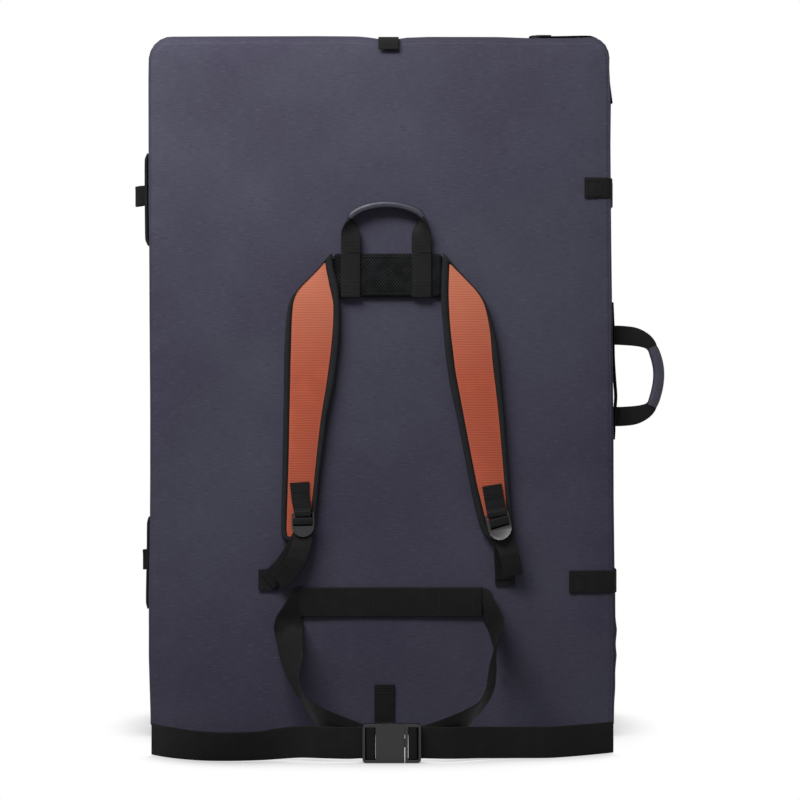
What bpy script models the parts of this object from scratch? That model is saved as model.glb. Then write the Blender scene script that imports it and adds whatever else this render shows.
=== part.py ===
"""Bouldering crash pad: two foam halves folded shut on a fabric hinge, standing on their short side.

The pad stands on the floor, z = 0, with its harness towards -Y and its hinge at the left, -X.
The origin is the middle of the front half's bottom face. Lengths are in metres.
"""

import math

import bmesh
import bpy
from mathutils import Matrix, Vector

# Foam halves and their covers
PAD_HEIGHT = 0.890
PAD_WIDTH = 0.590
HALF_DEPTH = 0.090
FOLD_GAP = 0.001
TOP_CORNER = 0.028
BOTTOM_CORNER = 0.016
PINCH_DEPTH = 0.006
PINCH_LENGTH = 0.080
WALL_BULGE = 0.003
EDGE_ROUND = 0.007
CROWN_DROP = 0.003
CROWN_BORDER = 0.040
FLOOR_PRESS = 0.0005
COVER_WALL = 0.0012
LANDING_WALL = 0.0016
LAYER_GAP = 0.0004
PE_THICKNESS = 0.020
SEAT_GAP = 0.0003
CORNER_STEPS = 6
ROUND_STEPS = 3
CROWN_MIDDLE_SHARE = 0.3
PINCH_SHARES = (0.0, 0.4, 0.75)

# Fabric hinge along the left of the fold
HINGE_OFFSET = 0.007
HINGE_WALL = 0.0012
HINGE_REACH = 0.018
HINGE_BEND_SHARE = 0.33
HINGE_END_MARGIN = 0.050

# Webbing
WEBBING = 0.0016
NARROW_WEBBING = 0.025
BELT_WEBBING = 0.038
STITCHED_GAP = 0.0004
STATION_STEPS = 3

# Yoke between the shoulder straps
YOKE_X = 0.008
YOKE_TOP_Z = 0.619
YOKE_WIDTH = 0.139
YOKE_HEIGHT = 0.056
YOKE_THICKNESS = 0.007
YOKE_CORNER = 0.0035

# Shoulder straps
STRAP_DROP = 0.369
STRAP_WIDTH = 0.068
STRAP_THICKNESS = 0.012
OUTER_BINDING = 0.0055
INNER_BINDING = 0.0070
BINDING_TAPER = 0.075
BINDING_TIP_SHARE = 0.4
STRAP_POINT = 0.0012
STRAP_SHEET = 0.0012
LEFT_STRAP_REACH = 0.136
RIGHT_STRAP_REACH = 0.160
# Down the strap: share of the drop, outer edge as a share of the reach, width as a share of the strap's width
LEFT_STRAP_SHARES = (
    (0.000, 0.540, 0.040),
    (0.038, 0.615, 0.180),
    (0.090, 0.750, 0.480),
    (0.135, 0.860, 0.765),
    (0.180, 0.915, 0.900),
    (0.250, 0.944, 0.980),
    (0.325, 0.962, 1.000),
    (0.450, 0.974, 0.940),
    (0.550, 0.980, 0.835),
    (0.650, 0.984, 0.765),
    (0.780, 0.990, 0.685),
    (0.900, 0.998, 0.635),
    (0.965, 1.000, 0.570),
    (0.992, 0.975, 0.390),
)
RIGHT_STRAP_SHARES = (
    (0.000, 0.458, 0.040),
    (0.038, 0.520, 0.180),
    (0.090, 0.625, 0.470),
    (0.145, 0.742, 0.750),
    (0.190, 0.786, 0.840),
    (0.250, 0.820, 0.880),
    (0.325, 0.848, 0.905),
    (0.450, 0.890, 0.900),
    (0.550, 0.912, 0.830),
    (0.650, 0.930, 0.765),
    (0.780, 0.955, 0.710),
    (0.900, 0.985, 0.630),
    (0.965, 1.000, 0.560),
    (0.992, 0.982, 0.390),
)

# Ladder locks on the shoulder straps' ends
LOCK_WIDTH = 0.031
LOCK_THICKNESS = 0.0032
LOCK_BAR = 0.0032
LOCK_MIDDLE_BAR = 0.0036
LOCK_UPPER_SLOT = 0.0048
LOCK_LOWER_SLOT = 0.0032
LOCK_TONGUE = 0.0140
LOCK_CORNER = 0.0019
TONGUE_STEPS = 8
LEFT_TAIL_DRIFT_SHARE = 0.42
RIGHT_TAIL_DRIFT_SHARE = 0.18
LOCK_Z = 0.2890
LEFT_LOCK_X = -0.1018
LEFT_LOCK_LEAN = math.radians(5.5)
RIGHT_LOCK_X = 0.1465
RIGHT_LOCK_LEAN = math.radians(10.0)
TAB_LENGTH = 0.040
TAB_FOLD_BACK = 0.014
LEFT_ANCHOR_X = -0.1430
RIGHT_ANCHOR_X = 0.1575
ANCHOR_SIZE = 0.022
TAIL_DROP = 0.050
TAIL_STAND_OFF = 0.012
# From the anchor to the lock: share of the way, and of the stand-off
LEAD_SHARES = ((0.0, 0.0), (0.30, 0.13), (0.72, 0.25))
# Down the loose tail: shares of its drop, its sideways drift and the stand-off
FALL_SHARES = ((0.5, 0.45, 0.35), (1.0, 1.0, 0.1))

# Grab handle above the yoke
TOP_HANDLE_X = 0.006
TOP_HANDLE_SPACING = 0.0906
TOP_HANDLE_RISE = 0.0455
TOP_HANDLE_ARCH = 0.016
# Carrying handle on the open side
SIDE_HANDLE_Z = 0.4630
SIDE_HANDLE_SPACING = 0.1050
SIDE_HANDLE_RISE = 0.0470
SIDE_HANDLE_ARCH = 0.008
HANDLE_SIDE_DEPTH = 0.030
SIDE_BASE_ABOVE = 0.0425
SIDE_BASE_BELOW = 0.0295
GRIP_WIDTH = 0.016
GRIP_THICKNESS = 0.0100
FOLDED_WIDTH = 0.0110
FOLDED_THICKNESS = 0.0034
GRIP_CLEARANCE = 0.0005
HANDLE_FOOT_GAP = 0.0005
# From a handle's foot to its grip: shares of the half spacing and of the rise, and of the turn from flat to folded
TOP_HANDLE_SHARES = (
    (1.00, 0.00, 0.0),
    (1.00, 0.30, 0.0),
    (1.00, 0.62, 0.1),
    (1.00, 0.86, 0.55),
    (1.03, 1.00, 1.0),
)
SIDE_HANDLE_SHARES = (
    (1.00, 0.00, 0.0),
    (1.00, 0.35, 0.0),
    (0.98, 0.62, 0.15),
    (0.90, 0.82, 0.5),
    (0.78, 0.94, 0.8),
    (0.62, 1.00, 1.0),
)
# Along a grip, from end to end, as shares of the way between the legs' ends
GRIP_SHARES = (0.93, 0.62, 0.31, 0.0, -0.31, -0.62, -0.93)

# Waist belt
SLEEVE_X = 0.013
SLEEVE_Z = 0.1737
SLEEVE_LENGTH = 0.237
BELT_BUCKLE_X = 0.0051
BELT_REACH = 0.1455
BELT_TAIL_LEFT = 0.2543
BELT_TAIL_RIGHT = 0.2297
BELT_TAIL_FLOOR = 0.0006
# Along each tail: how far along, and how far back from the buckle as a share of the sway
LEFT_TAIL_SHARES = (
    (0.09, 0.00),
    (0.19, 0.03),
    (0.33, 0.12),
    (0.44, 0.18),
    (0.56, 0.10),
    (0.72, 0.14),
    (0.88, 0.48),
    (1.00, 1.00),
)
RIGHT_TAIL_SHARES = (
    (0.16, 0.00),
    (0.30, 0.12),
    (0.44, 0.30),
    (0.60, 0.48),
    (0.76, 0.60),
    (0.90, 0.80),
    (1.00, 1.06),
)
BELT_TAIL_SWAY = 0.050
BELT_TAIL_SETTLE_SHARE = 0.55
BELT_SPLIT_SHARE = 0.25
# Each wing: side, forward and down as shares of the bulge, reach and drop, with the direction of its width
LEFT_WING_SHARES = (
    (0.04, 0.000, 0.000, (0.00, 0.00, 1.00)),
    (0.26, 0.012, 0.012, (-0.06, 0.00, 1.00)),
    (0.52, 0.060, 0.065, (-0.45, -0.12, 0.88)),
    (0.68, 0.125, 0.130, (-0.84, -0.05, 0.50)),
    (0.66, 0.210, 0.185, (-0.95, 0.12, 0.00)),
    (0.56, 0.310, 0.233, (-0.86, 0.20, -0.35)),
    (0.28, 0.480, 0.341, (-0.74, 0.27, -0.62)),
    (-0.08, 0.653, 0.464, (-0.60, 0.30, -0.74)),
    (-0.52, 0.790, 0.568, (-0.48, 0.30, -0.82)),
    (-1.07, 0.885, 0.680, (-0.40, 0.25, -0.88)),
    (-2.15, 0.945, 0.833, (-0.25, 0.12, -0.95)),
    (-3.20, 0.978, 0.920, (-0.10, 0.05, -0.99)),
    (-4.25, 0.996, 0.982, (-0.03, 0.01, -1.00)),
)
RIGHT_WING_SHARES = (
    (0.04, 0.000, 0.000, (0.00, 0.00, 1.00)),
    (0.26, 0.025, 0.030, (0.08, -0.14, 0.98)),
    (0.50, 0.078, 0.093, (0.30, -0.48, 0.82)),
    (0.71, 0.120, 0.180, (0.46, -0.66, 0.60)),
    (0.71, 0.190, 0.265, (0.42, -0.67, 0.61)),
    (0.48, 0.301, 0.368, (0.12, -0.67, 0.73)),
    (0.25, 0.411, 0.465, (0.00, -0.65, 0.76)),
    (-0.04, 0.562, 0.578, (-0.02, -0.62, 0.78)),
    (-0.52, 0.713, 0.690, (0.04, -0.62, 0.78)),
    (-1.17, 0.836, 0.779, (0.10, -0.62, 0.78)),
    (-1.88, 0.915, 0.848, (0.04, -0.55, 0.83)),
    (-2.60, 0.960, 0.900, (0.00, -0.38, 0.92)),
    (-3.35, 0.985, 0.945, (0.00, -0.18, 0.98)),
    (-3.99, 0.997, 0.983, (0.00, -0.04, 1.00)),
)
WING_BULGE = 0.018

# Side-release buckles: sizes that the waist buckle and the closure buckles each have
BELT_BUCKLE = {
    "webbing": BELT_WEBBING,
    "width": 0.0460,
    "socket": 0.0345,
    "thickness": 0.0118,
    "wall": 0.0022,
    "rail": 0.0030,
    "outer_bar": 0.0030,
    "slot": 0.0034,
    "middle_bar": 0.0068,
    "arm": 0.0044,
    "prong": 0.0090,
    "reach": 0.0260,
    "play": 0.0006,
}
CLOSURE_BUCKLE = {
    "webbing": NARROW_WEBBING,
    "width": 0.0320,
    "socket": 0.0230,
    "thickness": 0.0100,
    "wall": 0.0018,
    "rail": 0.0026,
    "outer_bar": 0.0028,
    "slot": 0.0034,
    "middle_bar": 0.0034,
    "arm": 0.0030,
    "prong": 0.0050,
    "reach": 0.0170,
    "play": 0.0010,
}
BUCKLE_FLOOR = 0.0006
CATCH_SHARE = 0.46
ARM_ROOT_SHARE = 0.75
# An arm's pad: along the reach, and out from the root's line or from the buckle's edge as a share of the arm
ARM_INNER_SHARES = ((0.80, -0.55), (1.00, -0.20))
ARM_OUTER_SHARES = ((0.86, -0.20), (0.60, 0.00))
ARM_CATCH_SHARE = 0.10
ARM_STEPS = 4
PRONG_SHOULDER_SHARE = 0.85
PRONG_TIP_SHARE = 0.80
UPPER_CLOSURE_Z = 0.7030
LOWER_CLOSURE_Z = 0.1990
TOP_CLOSURE_X = 0.0090
UPPER_FACE_REACH = 0.0360
LOWER_FACE_REACH = 0.0550
REAR_FACE_REACH = 0.0600
CLOSURE_FOLD_BACK = 0.0130
TOP_TAIL_OVERHANG = 0.0150
TOP_TAIL_REST_SHARE = 0.6

# Strips and loops on the spine, keeper under the belt
SPINE_STRIP_LENGTH = 0.118
SPINE_STRIP_WIDTH = 0.025
SPINE_STRIP_BOW = 0.0030
SPINE_STRIP_SHARES = (0.4, 0.82, 1.0)
UPPER_STRIP_Z = 0.6920
LOWER_STRIP_Z = 0.2210
SPINE_DEPTH = 0.040
SPINE_LOOP_WIDTH = 0.026
SPINE_LOOP_LENGTH = 0.014
UPPER_LOOP_Z = 0.6980
LOWER_LOOP_Z = 0.2250
KEEPER_X = 0.0040
KEEPER_TOP_Z = 0.0680

# Zip of the front cover, near its front edge at the top right
ZIP_REACH = 0.1050
ZIP_END_DROP = 0.0900
ZIP_DEPTH = 0.0200
ZIP_WIDTH = 0.0100
ZIP_THICKNESS = 0.0010
SLIDER_LENGTH = 0.0120
SLIDER_WIDTH = 0.0080
SLIDER_THICKNESS = 0.0030
SLIDER_CORNER = 0.0020
SLIDER_INSET = 0.0024
PULL_LENGTH = 0.0200
PULL_WIDTH = 0.0060
PULL_THICKNESS = 0.0012
PULL_CORNER = 0.0015
PULL_START_SHARE = 0.5
PULL_SINK = 0.0005

# What follows from those
FRONT_Y = -HALF_DEPTH / 2
FOLD_Y = HALF_DEPTH / 2 + FOLD_GAP / 2
REAR_Y = HALF_DEPTH / 2 + FOLD_GAP + HALF_DEPTH
HALF_WIDTH = PAD_WIDTH / 2
SPINE_X = -HALF_WIDTH - HINGE_OFFSET
ZIP_START_X = HALF_WIDTH - ZIP_REACH
ANCHOR_Z = SLEEVE_Z + BELT_WEBBING / 2 + SEAT_GAP + ANCHOR_SIZE / 2
FACE_SEAT_Y = FRONT_Y - SEAT_GAP
STRAP_FACE_Y = FACE_SEAT_Y - STRAP_THICKNESS
LOCK_LOW = 2 * WEBBING + 3 * STITCHED_GAP
LOCK_MIDDLE_START = LOCK_BAR + LOCK_UPPER_SLOT
LOCK_MIDDLE_END = LOCK_MIDDLE_START + LOCK_MIDDLE_BAR
LOCK_TONGUE_START = LOCK_MIDDLE_END + LOCK_LOWER_SLOT
RIGHT, UP, OUT = Vector((1, 0, 0)), Vector((0, 0, 1)), Vector((0, -1, 0))


def finish(name, colour, roughness, metallic=0.0):
    """A plain material with that sRGB colour."""
    made = bpy.data.materials.new(name)
    made.use_nodes = True
    shader = made.node_tree.nodes["Principled BSDF"]
    channels = [int(colour[i : i + 2], 16) / 255 for i in (0, 2, 4)]
    linear = [c / 12.92 if c <= 0.04045 else ((c + 0.055) / 1.055) ** 2.4 for c in channels]
    shader.inputs["Base Color"].default_value = (*linear, 1.0)
    shader.inputs["Roughness"].default_value = roughness
    shader.inputs["Metallic"].default_value = metallic
    return made


def place(name, mesh, material):
    """An object of that mesh, with its normals pointing out."""
    built = bmesh.new()
    built.from_mesh(mesh)
    bmesh.ops.remove_doubles(built, verts=built.verts, dist=1e-6)
    bmesh.ops.recalc_face_normals(built, faces=built.faces)
    built.to_mesh(mesh)
    built.free()
    mesh.materials.clear()
    mesh.materials.append(material)
    obj = bpy.data.objects.new(name, mesh)
    bpy.context.scene.collection.objects.link(obj)
    return obj


def surface(name, points, faces, material):
    """An object from its points and faces."""
    mesh = bpy.data.meshes.new(name)
    mesh.from_pydata([tuple(p) for p in points], [], faces)
    return place(name, mesh, material)


def skin(name, rings, material):
    """A closed solid through rings of equal point counts, capped at the first and the last."""
    count = len(rings[0])
    points = [p for ring in rings for p in ring]
    faces = [list(range(count)), list(range((len(rings) - 1) * count, len(rings) * count))]
    for r in range(len(rings) - 1):
        for i in range(count):
            j = (i + 1) % count
            faces.append([r * count + i, r * count + j, (r + 1) * count + j, (r + 1) * count + i])
    return surface(name, points, faces, material)


def plate(name, loops, low, high, frame, material):
    """A flat plate with holes: loops of (u, v) extruded between two heights of a frame."""
    curve = bpy.data.curves.new(name, "CURVE")
    curve.dimensions = "2D"
    curve.fill_mode = "BOTH"
    curve.extrude = (high - low) / 2
    for loop in loops:
        spline = curve.splines.new("POLY")
        spline.points.add(len(loop) - 1)
        for point, (u, v) in zip(spline.points, loop):
            point.co = (u, v, 0, 1)
        spline.use_cyclic_u = True
    drawn = bpy.data.objects.new(name + "_outline", curve)
    mesh = bpy.data.meshes.new_from_object(drawn)
    bpy.data.objects.remove(drawn)
    mesh.transform(frame @ Matrix.Translation((0, 0, (low + high) / 2)))
    return place(name, mesh, material)


def box_between(u, v):
    """The corners of a rectangle, as an outline."""
    return [(u[0], v[0]), (u[1], v[0]), (u[1], v[1]), (u[0], v[1])]


def rounded_box(u, v, radius, steps=2):
    """A rectangle with round corners."""
    corners = (
        (u[1] - radius, v[1] - radius, 0),
        (u[0] + radius, v[1] - radius, 90),
        (u[0] + radius, v[0] + radius, 180),
        (u[1] - radius, v[0] + radius, 270),
    )
    points = []
    for cu, cv, start in corners:
        for k in range(steps + 1):
            angle = math.radians(start + 90 * k / steps)
            points.append((cu + radius * math.cos(angle), cv + radius * math.sin(angle)))
    return points


def combine(obj, other, operation):
    """Joins another solid to this one, or cuts it away, and leaves one mesh."""
    modifier = obj.modifiers.new(operation.lower(), "BOOLEAN")
    modifier.operation = operation
    modifier.solver = "EXACT"
    modifier.object = other
    bpy.context.view_layer.update()
    mesh = bpy.data.meshes.new_from_object(obj.evaluated_get(bpy.context.evaluated_depsgraph_get()))
    obj.modifiers.clear()
    obj.data = mesh
    bpy.data.objects.remove(other)
    return obj


def frame_at(origin, along, across):
    """A frame whose first axis runs along, whose second lies across and whose third stands on both."""
    along, across = along.normalized(), across.normalized()
    out = along.cross(across)
    turned = Matrix((along, across, out)).transposed().to_4x4()
    return Matrix.Translation(origin) @ turned


def ribbon(name, stations, material):
    """A strip through stations of (centre, width direction, width, thickness), mitred at each bend."""
    centres = [Vector(s[0]) for s in stations]
    rings = []
    for i, (centre, across, width, thickness) in enumerate(stations):
        centre, across = Vector(centre), Vector(across).normalized()
        before = (centre - centres[i - 1]) if i else (centres[1] - centre)
        after = (centres[i + 1] - centre) if i < len(centres) - 1 else before
        first = across.cross(before).normalized()
        second = across.cross(after).normalized()
        stand = (first + second).normalized()
        stretch = 1 / max(stand.dot(first), 0.5)
        half, lift = across * width / 2, stand * thickness / 2 * stretch
        rings.append([centre - half - lift, centre + half - lift, centre + half + lift, centre - half + lift])
    return skin(name, rings, material)


def eased(stations):
    """A ribbon's stations with more between them, on a smooth curve through their centres and directions."""
    made = []
    last = len(stations) - 1
    for i in range(last):
        before, here, there, after = (stations[min(max(i + k, 0), last)] for k in (-1, 0, 1, 2))
        for step in range(STATION_STEPS):
            t = step / STATION_STEPS
            pair = []
            for k in (0, 1):
                a, b, c, d = (Vector(s[k]) for s in (before, here, there, after))
                pair.append((2 * b + (c - a) * t + (2 * a - 5 * b + 4 * c - d) * t**2 + (3 * (b - c) + d - a) * t**3) / 2)
            sizes = (here[k] + (there[k] - here[k]) * t for k in (2, 3))
            made.append((*pair, *sizes))
    return [*made, stations[last]]


def strip(name, path, across, width, material, thickness=WEBBING):
    """A ribbon of even width whose width direction doesn't turn."""
    return ribbon(name, [(p, across, width, thickness) for p in path], material)


def hollow_ribbon(name, stations, wall_width, wall_thickness, material):
    """A sleeve round a ribbon: the stations give its bore, and the walls are added outside."""
    outer = [(c, a, w + 2 * wall_width, t + 2 * wall_thickness) for c, a, w, t in stations]
    centres = [Vector(s[0]) for s in stations]
    before = centres[0] + (centres[0] - centres[1]).normalized() * wall_width
    beyond = centres[-1] + (centres[-1] - centres[-2]).normalized() * wall_width
    bore = [(before, *stations[0][1:]), *stations, (beyond, *stations[-1][1:])]
    return combine(ribbon(name, outer, material), ribbon(name + "_bore", bore, material), "DIFFERENCE")


def pivot(name, location, pieces):
    """An empty on a joint's axis that carries the pieces that move on it."""
    empty = bpy.data.objects.new(name, None)
    empty.location = location
    bpy.context.scene.collection.objects.link(empty)
    bpy.context.view_layer.update()
    for piece in pieces:
        piece.parent = empty
        piece.matrix_parent_inverse = empty.matrix_world.inverted()
    return empty


def wall_inset(depth):
    """How far the side wall lies inside its fullest line, at a depth behind the outer face."""
    middle = HALF_DEPTH / 2
    return WALL_BULGE * ((depth - middle) / middle) ** 2


def edge_profile(offset):
    """(inset, depth) from the flat of the outer face over its edge to the wall, moved inwards by offset."""
    turn = CROWN_DROP + EDGE_ROUND
    centre_inset = wall_inset(turn) + EDGE_ROUND
    radius = EDGE_ROUND - offset
    between = (CROWN_BORDER + centre_inset) / 2
    points = [(CROWN_BORDER, offset), (between, CROWN_DROP * CROWN_MIDDLE_SHARE + offset)]
    for k in range(ROUND_STEPS + 1):
        angle = math.pi / 2 * k / ROUND_STEPS
        points.append((centre_inset - radius * math.sin(angle), turn - radius * math.cos(angle)))
    return points


def wall_profile(offset, end_depth):
    """(inset, depth) along the side wall, from the edge to a depth."""
    middle = HALF_DEPTH / 2
    flat_reach = middle * math.sqrt(FLOOR_PRESS / WALL_BULGE)
    depths = [middle - flat_reach, middle, middle + flat_reach, (middle + flat_reach + HALF_DEPTH) / 2]
    return [(wall_inset(d) + offset, d) for d in [*[d for d in depths if d < end_depth - WEBBING], end_depth]]


def outline():
    """The pad's outline at its fullest, from the bottom right corner upwards and round."""
    half = HALF_WIDTH
    low, high = -FLOOR_PRESS, PAD_HEIGHT
    right = []
    for k in range(CORNER_STEPS + 1):
        angle = math.pi / 2 * (k / CORNER_STEPS - 1)
        right.append(
            (
                half - BOTTOM_CORNER + BOTTOM_CORNER * math.cos(angle),
                low + BOTTOM_CORNER + BOTTOM_CORNER * math.sin(angle),
            )
        )
    for share in PINCH_SHARES:
        right.append((half - PINCH_DEPTH * share**2, high - TOP_CORNER - PINCH_LENGTH * (1 - share)))
    for k in range(CORNER_STEPS + 1):
        angle = math.pi / 2 * k / CORNER_STEPS
        right.append(
            (
                half - PINCH_DEPTH - TOP_CORNER + TOP_CORNER * math.cos(angle),
                high - TOP_CORNER + TOP_CORNER * math.sin(angle),
            )
        )
    return right + [(-x, z) for x, z in reversed(right)]


def ring(inset, y, floor):
    """The outline drawn in by an inset, at a depth y, and pressed flat where it would pass the floor."""
    middle = (PAD_HEIGHT - FLOOR_PRESS) / 2
    tall = (PAD_HEIGHT + FLOOR_PRESS) / 2
    wide, high = (HALF_WIDTH - inset) / HALF_WIDTH, (tall - inset) / tall
    return [Vector((x * wide, y, max(middle + (z - middle) * high, floor))) for x, z in outline()]


def half_rings(profile, floor, face_y, side):
    """Rings of a half whose outer face lies at face_y, with its depth running towards side."""
    return [ring(inset, face_y + side * depth, floor) for inset, depth in profile]


def build_half(prefix, face_y, side, fabrics):
    """Cover, landing panel and two foam layers of one half."""
    rim = HALF_DEPTH - LANDING_WALL - SEAT_GAP
    outer = edge_profile(0) + wall_profile(0, rim)
    inner = edge_profile(COVER_WALL) + wall_profile(COVER_WALL, rim)
    cover = skin(
        prefix + "_cover",
        half_rings(inner, COVER_WALL, face_y, side) + half_rings(reversed(outer), 0, face_y, side),
        fabrics["nylon"],
    )
    landing_top = [(wall_inset(d), d) for d in (HALF_DEPTH - LANDING_WALL, HALF_DEPTH)]
    landing = skin(prefix + "_landing_panel", half_rings(landing_top, 0, face_y, side), fabrics["landing"])
    shift = COVER_WALL + LAYER_GAP
    pe_end = HALF_DEPTH - LANDING_WALL - LAYER_GAP
    pe_start = pe_end - PE_THICKNESS
    base = edge_profile(shift) + wall_profile(shift, pe_start - LAYER_GAP)
    pu_foam = skin(prefix + "_base_foam", half_rings(base, shift, face_y, side), fabrics["pu"])
    top = [(wall_inset(d) + shift, d) for d in (pe_start, (pe_start + pe_end) / 2, pe_end)]
    pe_foam = skin(prefix + "_top_foam", half_rings(top, shift, face_y, side), fabrics["pe"])
    return [cover, landing, pu_foam, pe_foam]


def build_hinge_web(fabrics):
    """The fabric hinge: a U-shaped strip along the fold, proud of the spine."""
    seam = wall_inset(HALF_DEPTH)
    near = -HALF_WIDTH + seam - SEAT_GAP - HINGE_WALL / 2
    foot = -HALF_WIDTH + wall_inset(HALF_DEPTH - HINGE_REACH) - SEAT_GAP - HINGE_WALL / 2
    bend = HINGE_REACH * HINGE_BEND_SHARE
    path = [
        (foot, FOLD_Y - HINGE_REACH),
        ((near + SPINE_X) / 2, FOLD_Y - bend),
        (SPINE_X, FOLD_Y),
        ((near + SPINE_X) / 2, FOLD_Y + bend),
        (foot, FOLD_Y + HINGE_REACH),
    ]
    middle = PAD_HEIGHT / 2
    length = PAD_HEIGHT - 2 * HINGE_END_MARGIN
    points = [Vector((x, y, middle)) for x, y in path]
    return strip("spine_hinge_web", points, UP, length, fabrics["webbing"], HINGE_WALL)


def strap_rows(shares, reach):
    """(height, outer edge, inner edge) down a shoulder strap, with the edges measured from the yoke's middle."""
    yoke_bottom = YOKE_TOP_Z - YOKE_HEIGHT - SEAT_GAP
    rows = [(YOKE_TOP_Z - STRAP_DROP * down, reach * out, STRAP_WIDTH * wide) for down, out, wide in shares]
    for i in range(len(rows) - 1):
        if rows[i][0] > yoke_bottom > rows[i + 1][0]:
            share = (rows[i][0] - yoke_bottom) / (rows[i][0] - rows[i + 1][0])
            rows.insert(i + 1, tuple(a + (b - a) * share for a, b in zip(rows[i], rows[i + 1])))
            break
    made = []
    for z, edge, width in rows:
        least = YOKE_WIDTH / 2 + SEAT_GAP if z >= yoke_bottom else 0.0
        inner = max(edge - width, least)
        made.append((z, max(edge, inner + STRAP_POINT), inner))
    return made


def drawn_in(rows, gap):
    """Strap rows moved inwards by the binding and a gap, without those where nothing is left."""
    made = []
    for i, (z, outer, inner) in enumerate(rows):
        above, below = rows[max(i - 1, 0)], rows[min(i + 1, len(rows) - 1)]
        drop = above[0] - below[0]
        share = min(max((rows[0][0] - z) / BINDING_TAPER, BINDING_TIP_SHARE), 1.0)
        outer -= (OUTER_BINDING * share + gap) * math.hypot(1, (above[1] - below[1]) / drop)
        inner += (INNER_BINDING + gap) * math.hypot(1, (above[2] - below[2]) / drop)
        if outer - inner > STRAP_POINT:
            made.append((z, outer, inner))
    top, bottom = made[0], made[-1]
    made[0] = (min(top[0], rows[0][0] - OUTER_BINDING) - gap, *top[1:])
    made[-1] = (max(bottom[0], rows[-1][0] + OUTER_BINDING) + gap, *bottom[1:])
    return made


def strap_outline(rows, side):
    """Strap rows as an outline in (x, z), down the outer edge and back up the inner one."""
    outer = [(YOKE_X + side * edge, z) for z, edge, _ in rows]
    return outer + [(YOKE_X + side * edge, z) for z, _, edge in reversed(rows)]


def face_frame(origin_x, origin_z, y=0.0):
    """A frame on the front face: u to the right, v up, third axis towards the viewer."""
    return frame_at(Vector((origin_x, y, origin_z)), RIGHT, UP)


def build_strap(prefix, shares, reach, side, fabrics):
    """Padded shoulder strap: foam, face fabric and edge binding, lying on the front face."""
    rows = strap_rows(shares, reach)
    edge = strap_outline(rows, side)
    inner = strap_outline(drawn_in(rows, 0.0), side)
    filling = strap_outline(drawn_in(rows, SEAT_GAP), side)
    frame = face_frame(0.0, 0.0, FACE_SEAT_Y)
    sheet_low = STRAP_THICKNESS - STRAP_SHEET
    binding = plate(prefix + "_strap_binding", [edge, inner], 0, STRAP_THICKNESS, frame, fabrics["binding"])
    foam = plate(prefix + "_strap_foam", [filling], 0, sheet_low - LAYER_GAP, frame, fabrics["mesh"])
    face = plate(prefix + "_strap_face", [filling], sheet_low, STRAP_THICKNESS, frame, fabrics["orange"])
    return [binding, foam, face]


def lock_frame(x, z, lean):
    """The ladder lock's frame: u down the strap from its top bar, v across, third axis towards the viewer."""
    down = Vector((math.sin(lean), 0, -math.cos(lean)))
    across = Vector((math.cos(lean), 0, math.sin(lean)))
    return frame_at(Vector((x, STRAP_FACE_Y, z)), down, across)


def build_lock(prefix, frame, fabrics):
    """Ladder lock: a frame with three bars and a round tongue, standing over two layers of webbing."""
    half = LOCK_WIDTH / 2
    opening = NARROW_WEBBING / 2 + STITCHED_GAP
    corner = LOCK_CORNER
    body = [(corner, -half), (LOCK_TONGUE_START, -half)]
    for k in range(1, TONGUE_STEPS):
        angle = math.pi * (k / TONGUE_STEPS - 0.5)
        body.append((LOCK_TONGUE_START + LOCK_TONGUE * math.cos(angle), half * math.sin(angle)))
    body += [(LOCK_TONGUE_START, half), (corner, half), (0.0, half - corner), (0.0, corner - half)]
    slots = [
        box_between((LOCK_BAR, LOCK_MIDDLE_START), (-opening, opening)),
        box_between((LOCK_MIDDLE_END, LOCK_TONGUE_START), (-opening, opening)),
    ]
    high = LOCK_LOW + LOCK_THICKNESS
    return plate(prefix + "_ladder_lock", [body, *slots], LOCK_LOW, high, frame, fabrics["plastic"])


def in_frame(frame, points):
    """Points (along, out) of a frame's middle plane, as places."""
    return [frame @ Vector((u, 0, w)) for u, w in points]


def build_tab(prefix, frame, fabrics):
    """The webbing tab on the strap's end: down its face, round the lock's top bar and back."""
    low = SEAT_GAP + WEBBING / 2
    high = LOCK_LOW + LOCK_THICKNESS + STITCHED_GAP + WEBBING / 2
    turn = LOCK_BAR + STITCHED_GAP + WEBBING / 2
    path = [
        (-TAB_LENGTH, low),
        (turn, low),
        (turn, high),
        (-STITCHED_GAP - WEBBING, high),
        (-STITCHED_GAP - 2 * WEBBING, low + WEBBING + STITCHED_GAP),
        (-STITCHED_GAP - 2 * WEBBING - TAB_FOLD_BACK, low + WEBBING + STITCHED_GAP),
    ]
    across = frame.to_3x3() @ Vector((0, 1, 0))
    return strip(prefix + "_strap_tab", in_frame(frame, path), across, NARROW_WEBBING, fabrics["webbing"])


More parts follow.
